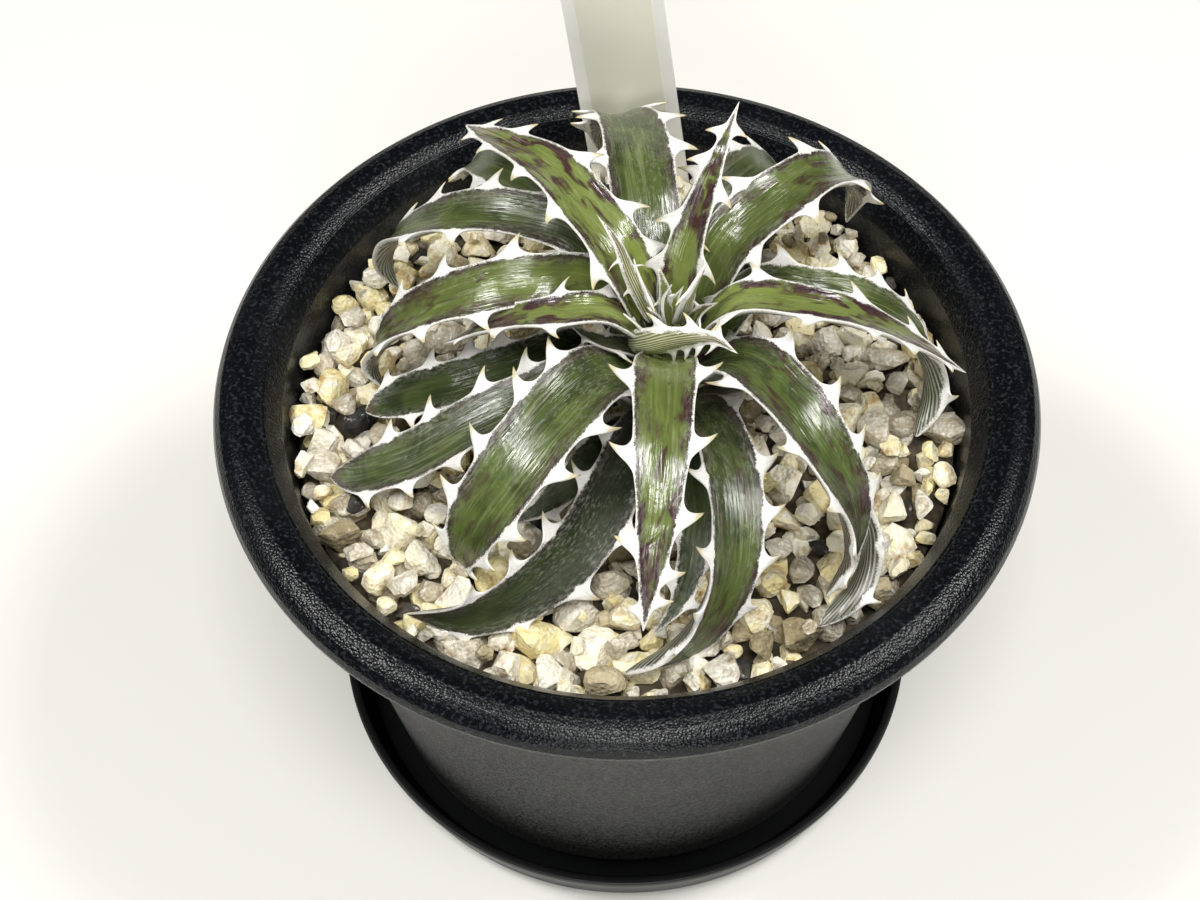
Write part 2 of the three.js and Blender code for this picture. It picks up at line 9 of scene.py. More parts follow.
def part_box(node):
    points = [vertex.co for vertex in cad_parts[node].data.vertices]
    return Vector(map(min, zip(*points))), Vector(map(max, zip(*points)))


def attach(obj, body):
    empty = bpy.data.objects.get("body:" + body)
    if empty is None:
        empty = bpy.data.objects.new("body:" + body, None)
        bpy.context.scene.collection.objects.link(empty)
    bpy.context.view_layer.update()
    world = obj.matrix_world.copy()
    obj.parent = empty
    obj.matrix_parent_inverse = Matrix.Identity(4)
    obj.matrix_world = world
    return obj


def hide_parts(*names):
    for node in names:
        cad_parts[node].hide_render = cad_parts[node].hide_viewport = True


# A dyckia bromeliad growing in a round black pot of stone grit, with its saucer and plant label.
# Everything is in metres; a length that is written in millimetres is multiplied by MM.

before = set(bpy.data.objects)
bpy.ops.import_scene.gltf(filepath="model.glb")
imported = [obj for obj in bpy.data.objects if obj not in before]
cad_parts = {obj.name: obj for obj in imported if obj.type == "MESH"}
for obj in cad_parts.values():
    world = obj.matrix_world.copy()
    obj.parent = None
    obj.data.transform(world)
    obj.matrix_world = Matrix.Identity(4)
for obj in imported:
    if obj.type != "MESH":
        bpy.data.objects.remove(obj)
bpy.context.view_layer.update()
MM = 0.001


# ---- Camera -------------------------------------------------------------------------------------
# It looks down on the rosette from the front, at about 55 degrees below the horizontal, from a
# third of a metre away, with the whole pot and most of the saucer in view.

camera_data = bpy.data.cameras.new("camera")
camera_data.lens = 66
camera_data.sensor_width = 36
camera_data.clip_start = 0.01
camera = bpy.data.objects.new("camera", camera_data)
bpy.context.scene.collection.objects.link(camera)
camera_place = Vector((0, -0.19961, 0.35179))
camera_right = Vector((0.99992, 0.01104, -0.00673))
camera_up = Vector((-0.00524, 0.82162, 0.57001))
camera_back = camera_right.cross(camera_up).normalized()
camera.matrix_world = Matrix.Translation(camera_place) @ Matrix(
    (camera_right, camera_up, camera_back)
).transposed().to_4x4()
bpy.context.scene.camera = camera


# ---- Table and light ----------------------------------------------------------------------------
# A pale seamless table top of matt laminate, and soft white light from five lamps: one above, one
# at each side, one in front and a low one that shows the wall of the pot.

bpy.context.scene.view_settings.view_transform = "Standard"


def linear(sheet):
    """An sRGB hex colour as linear red, green, blue and alpha."""
    channels = [int(sheet[i : i + 2], 16) / 255 for i in (1, 3, 5)]
    return [c / 12.92 if c <= 0.04045 else ((c + 0.055) / 1.055) ** 2.4 for c in channels] + [1.0]


def add(tree, kind, inputs=None, **settings):
    """Adds a node with its settings; an input takes a value, a hex colour, an output or a node."""
    made = tree.nodes.new("ShaderNode" + kind)
    for name, value in settings.items():
        setattr(made, name, value)
    for name, value in (inputs or {}).items():
        if isinstance(value, str):
            value = linear(value)
        if isinstance(value, bpy.types.Node):
            value = value.outputs[0]
        if isinstance(value, bpy.types.NodeSocket):
            tree.links.new(value, made.inputs[name])
        else:
            made.inputs[name].default_value = value
    return made


def surface(name, **values):
    """A new material; gives its tree and its shader, with the shader's own values set."""
    made = bpy.data.materials.new(name)
    made.use_nodes = True
    shader = made.node_tree.nodes["Principled BSDF"]
    for socket, value in values.items():
        shader.inputs[socket.replace("_", " ")].default_value = value
    return made.node_tree, shader


def dress(shader, **ends):
    """Leads the last node of each branch of a material into its shader."""
    for socket, node in ends.items():
        shader.id_data.links.new(node.outputs[0], shader.inputs[socket.replace("_", " ")])


def two_tone(name, kind, pattern, tones, relief=None, **values):
    """A material of two tones in one fine pattern, which may also stand out as relief."""
    tree, shader = surface(name, **values)
    spot = add(tree, "TexCoord").outputs["Object"]
    figure = add(tree, kind, {"Vector": spot, **pattern})
    tone = add(tree, "MixRGB", {"Fac": figure, "Color1": tones[0], "Color2": tones[1]})
    dress(shader, Base_Color=tone)
    if relief:
        dress(shader, Normal=add(tree, "Bump", {"Height": figure, **relief}))


def piece(name, mesh_maker, material):
    """A finished object at the origin from a bmesh, with smooth faces and the material named."""
    mesh = bpy.data.meshes.new(name)
    mesh_maker.to_mesh(mesh)
    mesh_maker.free()
    mesh.materials.append(bpy.data.materials[material])
    mesh.shade_smooth()
    made = bpy.data.objects.new(name, mesh)
    bpy.context.scene.collection.objects.link(made)
    return made


TABLE_HALF = 3.0

# Matt laminate, with faint clouds that keep it from looking printed.
two_tone(
    "table_laminate", "TexNoise", {"Scale": 6.0}, ("#efeee9", "#f4f3ef"), Roughness=0.55, IOR=1.5
)
table_maker = bmesh.new()
bmesh.ops.create_grid(table_maker, x_segments=1, y_segments=1, size=TABLE_HALF)
table = piece("table", table_maker, "table_laminate")

room = bpy.data.worlds.new("room")
bpy.context.scene.world = room
room.use_nodes = True
room_light = room.node_tree.nodes["Background"]
room_light.inputs["Color"].default_value = linear("#fffefa")
room_light.inputs["Strength"].default_value = 0.05

LAMP_TARGET = Vector((0, 0, 0.08))  # the heart of the plant
LAMPS = [
    # name, place, size across and along, power in watts
    ("lamp_above", (0.02, -0.36, 1.16), (0.34, 0.22), 5.6),
    ("lamp_left", (-0.55, -0.02, 0.90), (0.24, 0.24), 5.0),
    ("lamp_right", (0.55, 0.03, 0.92), (0.30, 0.30), 5.5),
    ("lamp_front", (0.0, -0.82, 0.76), (0.34, 0.16), 2.4),
    ("lamp_low", (0.0, -0.90, 0.20), (0.50, 0.20), 1.3),
]
for lamp_name, lamp_place, lamp_size, lamp_power in LAMPS:
    lamp_data = bpy.data.lights.new(lamp_name, "AREA")
    lamp_data.shape = "RECTANGLE"
    lamp_data.size, lamp_data.size_y = lamp_size
    lamp_data.energy = lamp_power
    lamp_data.color = (1.0, 0.995, 0.965)
    lamp = bpy.data.objects.new(lamp_name, lamp_data)
    bpy.context.scene.collection.objects.link(lamp)
    turn = (Vector(lamp_place) - LAMP_TARGET).to_track_quat("Z", "Y")
    lamp.matrix_world = Matrix.Translation(lamp_place) @ turn.to_matrix().to_4x4()


# ---- Saucer -------------------------------------------------------------------------------------
# A shallow dish of black polypropylene, injection moulded, with a thin bead round its lip. The pot
# stands loose in it and hides all of it but that lip.

SAUCER_RADIUS = 50 * MM
SAUCER_FOOT = 47.6 * MM
SAUCER_HEIGHT = 9 * MM
SAUCER_FLOOR = 2.2 * MM
SAUCER_WALL = 1.5 * MM
SAUCER_BEAD = 0.3 * MM  # how far the lip stands out from the wall
SAUCER_BEAD_FOOT = 1.6 * MM  # below the top of the lip
SAUCER_BEAD_SWELL = 1.2 * MM
SAUCER_ROUNDING = 0.5 * MM
TURNED_STEPS = 256
TOUCHING = 1e-6  # vertices this close are one


def turned(profile, rounding):
    """A bmesh turned about Z from a profile of radius and height, with its corners rounded."""
    maker = bmesh.new()
    points = [maker.verts.new((radius, 0, height)) for radius, height in profile]
    for pair in zip(points, points[1:]):
        maker.edges.new(pair)
    bmesh.ops.bevel(
        maker,
        geom=points[1:-1],
        affect="VERTICES",
        offset=rounding,
        offset_type="OFFSET",
        segments=4,
        profile=0.5,
        material=-1,
        clamp_overlap=True,
    )
    bmesh.ops.spin(
        maker,
        geom=maker.verts[:] + maker.edges[:],
        axis=(0, 0, 1),
        cent=(0, 0, 0),
        angle=2 * math.pi,
        steps=TURNED_STEPS,
        use_merge=True,
    )
    bmesh.ops.remove_doubles(maker, verts=maker.verts[:], dist=TOUCHING)
    bmesh.ops.recalc_face_normals(maker, faces=maker.faces[:])
    return maker


# Black polypropylene is semi-gloss from the mould and greys a little where dust lies.
saucer_tree, saucer_shader = surface(
    "moulded_polypropylene_black", Roughness=0.36, IOR=1.49, Specular_IOR_Level=0.3
)
saucer_spot = add(saucer_tree, "TexCoord").outputs["Object"]
# Moulded grain of about 0.3 mm, which breaks the gloss into fine points.
saucer_grain = add(saucer_tree, "TexNoise", {"Vector": saucer_spot, "Scale": 3000.0, "Detail": 2.0})
saucer_dust = add(
    saucer_tree, "TexNoise", {"Vector": saucer_spot, "Scale": 45.0, "Detail": 5.0, "Roughness": 0.7}
)
saucer_dust_mask = add(
    saucer_tree,
    "MapRange",
    {"Value": saucer_dust, "From Min": 0.5, "From Max": 0.8, "To Max": 0.25},
)
saucer_colour = add(
    saucer_tree, "MixRGB", {"Fac": saucer_dust_mask, "Color1": "#040506", "Color2": "#151515"}
)
saucer_bump = add(
    saucer_tree, "Bump", {"Height": saucer_grain, "Strength": 0.35, "Distance": 0.05 * MM}
)
dress(saucer_shader, Base_Color=saucer_colour, Normal=saucer_bump)

saucer = piece(
    "saucer_dish",
    turned(
        [
            (0, 0),
            (SAUCER_FOOT, 0),
            (SAUCER_RADIUS - SAUCER_BEAD, SAUCER_HEIGHT - SAUCER_BEAD_FOOT),
            (SAUCER_RADIUS, SAUCER_HEIGHT - SAUCER_BEAD_SWELL),
            (SAUCER_RADIUS, SAUCER_HEIGHT),
            (SAUCER_RADIUS - SAUCER_WALL, SAUCER_HEIGHT),
            (SAUCER_FOOT - SAUCER_WALL, SAUCER_FLOOR),
            (0, SAUCER_FLOOR),
        ],
        SAUCER_ROUNDING,
    ),
    "moulded_polypropylene_black",
)
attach(saucer, "root")
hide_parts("saucer")


# ---- Pot ----------------------------------------------------------------------------------------
# A tapered pot of black polypropylene with a broad rolled rim, injection moulded in a sand-blasted
# mould. A fine step runs round inside the rim, and water has left a dusty band above the grit.

RIM_RADIUS = 63 * MM
POT_TOP = 84 * MM
LIP_HEIGHT = 5 * MM
LIP_DEPTH = 4 * MM  # from the top down to where the wall's own inside begins
LIP_INNER = 57.2 * MM
CREASE_RADIUS = 55 * MM
WALL_TOP_RADIUS = 52.6 * MM
WALL = 2 * MM
FOOT_RADIUS = 42.7 * MM
POT_FOOT = 2.5 * MM
POT_FLOOR = 6 * MM
FOOT_RING = 1.5 * MM
WALL_SLOPE = (WALL_TOP_RADIUS + WALL - FOOT_RADIUS) / (POT_TOP - LIP_HEIGHT - SAUCER_FLOOR)
POT_ROUNDING = 0.6 * MM
DRAIN_RADIUS = 4 * MM
DRAIN_RING = 25 * MM
DRILL_DEPTH = 14 * MM
UNDER_LIP = POT_TOP - LIP_HEIGHT


def wall_inside(height):
    """The inside radius of the pot's wall at a height."""
    return WALL_TOP_RADIUS - WALL_SLOPE * (POT_TOP - LIP_DEPTH - height)


# From the middle of the underside out, up the wall, round the rolled rim and down the inside.
pot_maker = turned(
    [
        (0, POT_FOOT + FOOT_RING),
        (FOOT_RADIUS - 3 * MM, POT_FOOT + FOOT_RING),
        (FOOT_RADIUS - 2.4 * MM, POT_FOOT),
        (FOOT_RADIUS, POT_FOOT),
        (WALL_TOP_RADIUS + WALL, UNDER_LIP),
        (RIM_RADIUS - 1.0 * MM, UNDER_LIP),
        (RIM_RADIUS - 0.1 * MM, UNDER_LIP + 0.8 * MM),
        (RIM_RADIUS, UNDER_LIP + 1.6 * MM),
        (RIM_RADIUS - 0.4 * MM, POT_TOP - 2.2 * MM),
        (RIM_RADIUS - 1.3 * MM, POT_TOP - 1.1 * MM),
        (RIM_RADIUS - 2.7 * MM, POT_TOP - 0.35 * MM),
        (RIM_RADIUS - 4.4 * MM, POT_TOP),
        (LIP_INNER, POT_TOP - 0.2 * MM),
        (CREASE_RADIUS + 0.5 * MM, POT_TOP - 0.9 * MM),
        (CREASE_RADIUS + 0.3 * MM, POT_TOP - 1.15 * MM),
        (CREASE_RADIUS, POT_TOP - 1.15 * MM),
        (WALL_TOP_RADIUS, POT_TOP - 4.5 * MM),
        (wall_inside(POT_FLOOR), POT_FLOOR),
        (0, POT_FLOOR),
    ],
    POT_ROUNDING,
)

# The blasted mould leaves a grain that breaks the gloss into points, darker than the bare plastic.
pot_tree, pot_shader = surface(
    "grained_polypropylene_black", Roughness=0.42, IOR=1.49, Specular_IOR_Level=0.3
)
pot_spot = add(pot_tree, "TexCoord").outputs["Object"]
# The mould's sand-blasted grain is about 0.3 mm. It is drawn at 0.4 mm so that it shows.
pot_grain = add(pot_tree, "TexVoronoi", {"Vector": pot_spot, "Scale": 2500.0})
pot_bump = add(
    pot_tree, "Bump", {"Height": pot_grain, "Strength": 1.0, "Distance": 0.055 * MM}, invert=True
)
# Scuffs and dust: paler, rougher patches and fine specks.
pot_scuff = add(
    pot_tree, "TexNoise", {"Vector": pot_spot, "Scale": 55.0, "Detail": 6.0, "Roughness": 0.75}
)
pot_scuff_mask = add(
    pot_tree, "MapRange", {"Value": pot_scuff, "From Min": 0.50, "From Max": 0.75, "To Max": 0.6}
)
pot_scuffed = add(
    pot_tree, "MixRGB", {"Fac": pot_scuff_mask, "Color1": "#06080c", "Color2": "#111317"}
)
pot_speck = add(pot_tree, "TexNoise", {"Vector": pot_spot, "Scale": 1700.0})
pot_speck_mask = add(
    pot_tree, "MapRange", {"Value": pot_speck, "From Min": 0.52, "From Max": 0.74, "To Max": 0.26}
)
pot_speckled = add(
    pot_tree, "MixRGB", {"Fac": pot_speck_mask, "Color1": pot_scuffed, "Color2": "#54585f"}
)
# Lime and dust that watering left on the inside of the wall, just above the grit.
pot_place = add(pot_tree, "SeparateXYZ", {"Vector": pot_spot})
pot_round = add(pot_tree, "VectorMath", {0: pot_spot, 1: (1, 1, 0)}, operation="MULTIPLY")
pot_out = add(pot_tree, "VectorMath", {0: pot_round}, operation="LENGTH").outputs["Value"]
pot_bore = add(
    pot_tree,
    "Math",
    {0: pot_place.outputs["Z"], 1: WALL_SLOPE, 2: wall_inside(0)},
    operation="MULTIPLY_ADD",
)
pot_past = add(pot_tree, "Math", {0: pot_out, 1: pot_bore}, operation="SUBTRACT")
pot_inside = add(
    pot_tree, "MapRange", {"Value": pot_past, "From Min": 1.2 * MM, "From Max": 0.6 * MM}
)
pot_tide = add(
    pot_tree,
    "MapRange",
    {
        "Value": pot_place.outputs["Z"],
        "From Min": POT_TOP - 3 * MM,
        "From Max": POT_TOP - 7 * MM,
        "To Max": 0.2,
    },
)
pot_limed = add(pot_tree, "Math", {0: pot_inside, 1: pot_tide}, operation="MULTIPLY")
pot_limed = add(pot_tree, "Math", {0: pot_limed, 1: pot_scuff}, operation="MULTIPLY")
pot_colour = add(
    pot_tree, "MixRGB", {"Fac": pot_limed, "Color1": pot_speckled, "Color2": "#545148"}
)
pot_roughness = add(
    pot_tree,
    "MapRange",
    {"Value": pot_scuff, "From Min": 0.3, "From Max": 0.75, "To Min": 0.20, "To Max": 0.34},
)
# From the lower edge of the rim down the skin is coarser and duller, an even charcoal.
pot_low = add(
    pot_tree,
    "MapRange",
    {
        "Value": pot_place.outputs["Z"],
        "From Min": UNDER_LIP + 1.6 * MM,
        "From Max": UNDER_LIP + 0.8 * MM,
    },
)
pot_low = add(pot_tree, "Math", {0: pot_low, 1: pot_inside}, operation="SUBTRACT", use_clamp=True)
pot_matt_grain = add(pot_tree, "MapRange", {"Value": pot_speck, "From Min": 0.35, "From Max": 0.65})
pot_matt = add(
    pot_tree, "MixRGB", {"Fac": pot_matt_grain, "Color1": "#070708", "Color2": "#3a3a39"}
)
pot_colour = add(pot_tree, "MixRGB", {"Fac": pot_low, "Color1": pot_colour, "Color2": pot_matt})
pot_roughness = add(
    pot_tree, "Math", {0: pot_low, 1: 0.3, 2: pot_roughness}, operation="MULTIPLY_ADD"
)
dress(pot_shader, Base_Color=pot_colour, Roughness=pot_roughness, Normal=pot_bump)

pot = piece("grit_pot", pot_maker, "grained_polypropylene_black")
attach(pot, "root")
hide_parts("pot")

# The drain holes are cut out of the floor: one in the middle and six round it.
drain_turns = [turn * math.pi / 3 for turn in range(6)]
drain_spots = [Vector((DRAIN_RING * math.cos(a), DRAIN_RING * math.sin(a), 0)) for a in drain_turns]
drill_maker = bmesh.new()
for spot in [Vector((0, 0, 0))] + drain_spots:
    bmesh.ops.create_cone(
        drill_maker,
        cap_ends=True,
        segments=40,
        radius1=DRAIN_RADIUS,
        radius2=DRAIN_RADIUS,
        depth=DRILL_DEPTH,
        matrix=Matrix.Translation(spot + Vector((0, 0, POT_FLOOR))),
    )
drill = piece("drain_drill", drill_maker, "grained_polypropylene_black")
drain_cut = pot.modifiers.new("drain_holes", "BOOLEAN")
drain_cut.operation = "DIFFERENCE"
drain_cut.object = drill
bpy.context.view_layer.update()
drilled = pot.evaluated_get(bpy.context.evaluated_depsgraph_get())
cut_pot = bpy.data.meshes.new_from_object(drilled)
pot.modifiers.clear()
# The cut leaves slivers in the floor, which are dissolved.
cleaner = bmesh.new()
cleaner.from_mesh(cut_pot)
bmesh.ops.dissolve_degenerate(cleaner, dist=TOUCHING, edges=cleaner.edges[:])
floor_faces = [face for face in cleaner.faces if len(face.verts) > 4]
bmesh.ops.triangulate(cleaner, faces=floor_faces)
bmesh.ops.dissolve_degenerate(cleaner, dist=TOUCHING, edges=cleaner.edges[:])
cleaner.to_mesh(cut_pot)
cleaner.free()
pot.data = cut_pot
bpy.data.objects.remove(drill)


# ---- Crown --------------------------------------------------------------------------------------
# The short stem of the plant, a pale cone of fibres under the feet of its leaves.
# It is grooved lengthwise where old leaves have dried away.

STEM_X = 6 * MM
STEM_FOOT = 66 * MM
STEM_TOP = 96 * MM
STEM_FOOT_RADIUS = 4.9 * MM
STEM_TOP_RADIUS = 2.2 * MM
STEM_WASTING = 0.12  # how deep its hollows are, as a share of the radius
STEM_LUMPS = 900  # in a metre

# Dry fibre is matt and streaked lengthwise.
crown_tree, crown_shader = surface("fibrous_stem", Roughness=0.85, IOR=1.45)
crown_spot = add(crown_tree, "TexCoord").outputs["Object"]
crown_stretch = add(crown_tree, "Mapping", {"Vector": crown_spot, "Scale": (1800, 1800, 200)})
crown_fibre = add(crown_tree, "TexNoise", {"Vector": crown_stretch, "Scale": 1.0, "Detail": 4.0})
crown_colour = add(
    crown_tree, "MixRGB", {"Fac": crown_fibre, "Color1": "#4f5a2c", "Color2": "#b4b98a"}
)
crown_bump = add(crown_tree, "Bump", {"Height": crown_fibre, "Strength": 0.6, "Distance": 0.3 * MM})
dress(crown_shader, Base_Color=crown_colour, Normal=crown_bump)

crown_maker = bmesh.new()
bmesh.ops.create_cone(
    crown_maker,
    cap_ends=True,
    segments=32,
    radius1=STEM_FOOT_RADIUS,
    radius2=STEM_TOP_RADIUS,
    depth=STEM_TOP - STEM_FOOT,
    matrix=Matrix.Translation((STEM_X, 0, (STEM_TOP + STEM_FOOT) / 2)),
)
upright = [e for e in crown_maker.edges if abs(e.verts[0].co.z - e.verts[1].co.z) > TOUCHING]
bmesh.ops.subdivide_edges(crown_maker, edges=upright, cuts=14)
for vert in crown_maker.verts:
    away = Vector((vert.co.x - STEM_X, vert.co.y, 0))
    vert.co -= away * STEM_WASTING * (1 + noise.noise(vert.co * STEM_LUMPS))
crown = piece("stem_crown", crown_maker, "fibrous_stem")
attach(crown, "root")
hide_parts("stem")


# ---- Leaves -------------------------------------------------------------------------------------
# Thick succulent leaves that arch out and down, hollowed above and round below. Both margins carry
# a thin line of white felt and broad felted spines that hook back towards the foot of the leaf.

BLADE_DEPTH = 0.3  # thickness as a share of the width
BLADE_MOST_DEPTH = 2.7 * MM
CHANNEL_DEPTH = 0.13  # how far the upper side is hollowed, as a share of the width
MARGIN_THICKNESS = 0.4 * MM
MARGIN_WAVE = 0.35 * MM
SKIN_WAVE = 0.16 * MM
HELD_LENGTH = 0.1  # where the neighbours hold the foot narrow, as a share of the length
HELD_NARROWING = 0.35
TAPERED = 0.995  # how much of its width the blade has lost at the tip
STATION_SPACING = 0.75 * MM
FEWEST_STATIONS = 12
CURVE_STEPS = 24
FLARE_HEIGHT = 0.75 * MM  # how far the margin swells out towards a spine
FLARE_REACH = 2.4 * MM  # and how far along the margin it does
SPINE_FOOT = 2.3 * MM  # half length of a spine's foot along the margin
SPINE_STEPS = 7
SPINE_BASE = 2.0  # height in millimetres, and how much more for each millimetre of blade
SPINE_GAIN = 0.26
SPINE_SHRINK = 0.45  # how much smaller the spines are at the tip
SPINE_LEAN = 45  # how far they hook back at the foot, in degrees, and how much less at the tip
SPINE_STRAIGHTENING = 30
BROAD = 7  # blades this wide or wider, in millimetres, carry full spines
ACROSS = [1, 0.93, 0.78, 0.58, 0.32, 0, -0.32, -0.58, -0.78, -0.93, -1]
# What each vertex of a leaf tells its material. across, run and edge are in millimetres.
LEAF_FACTS = [
    "across", "run", "edge", "share", "spine", "under", "near_spine", "age", "blush", "pale", "seed"
]

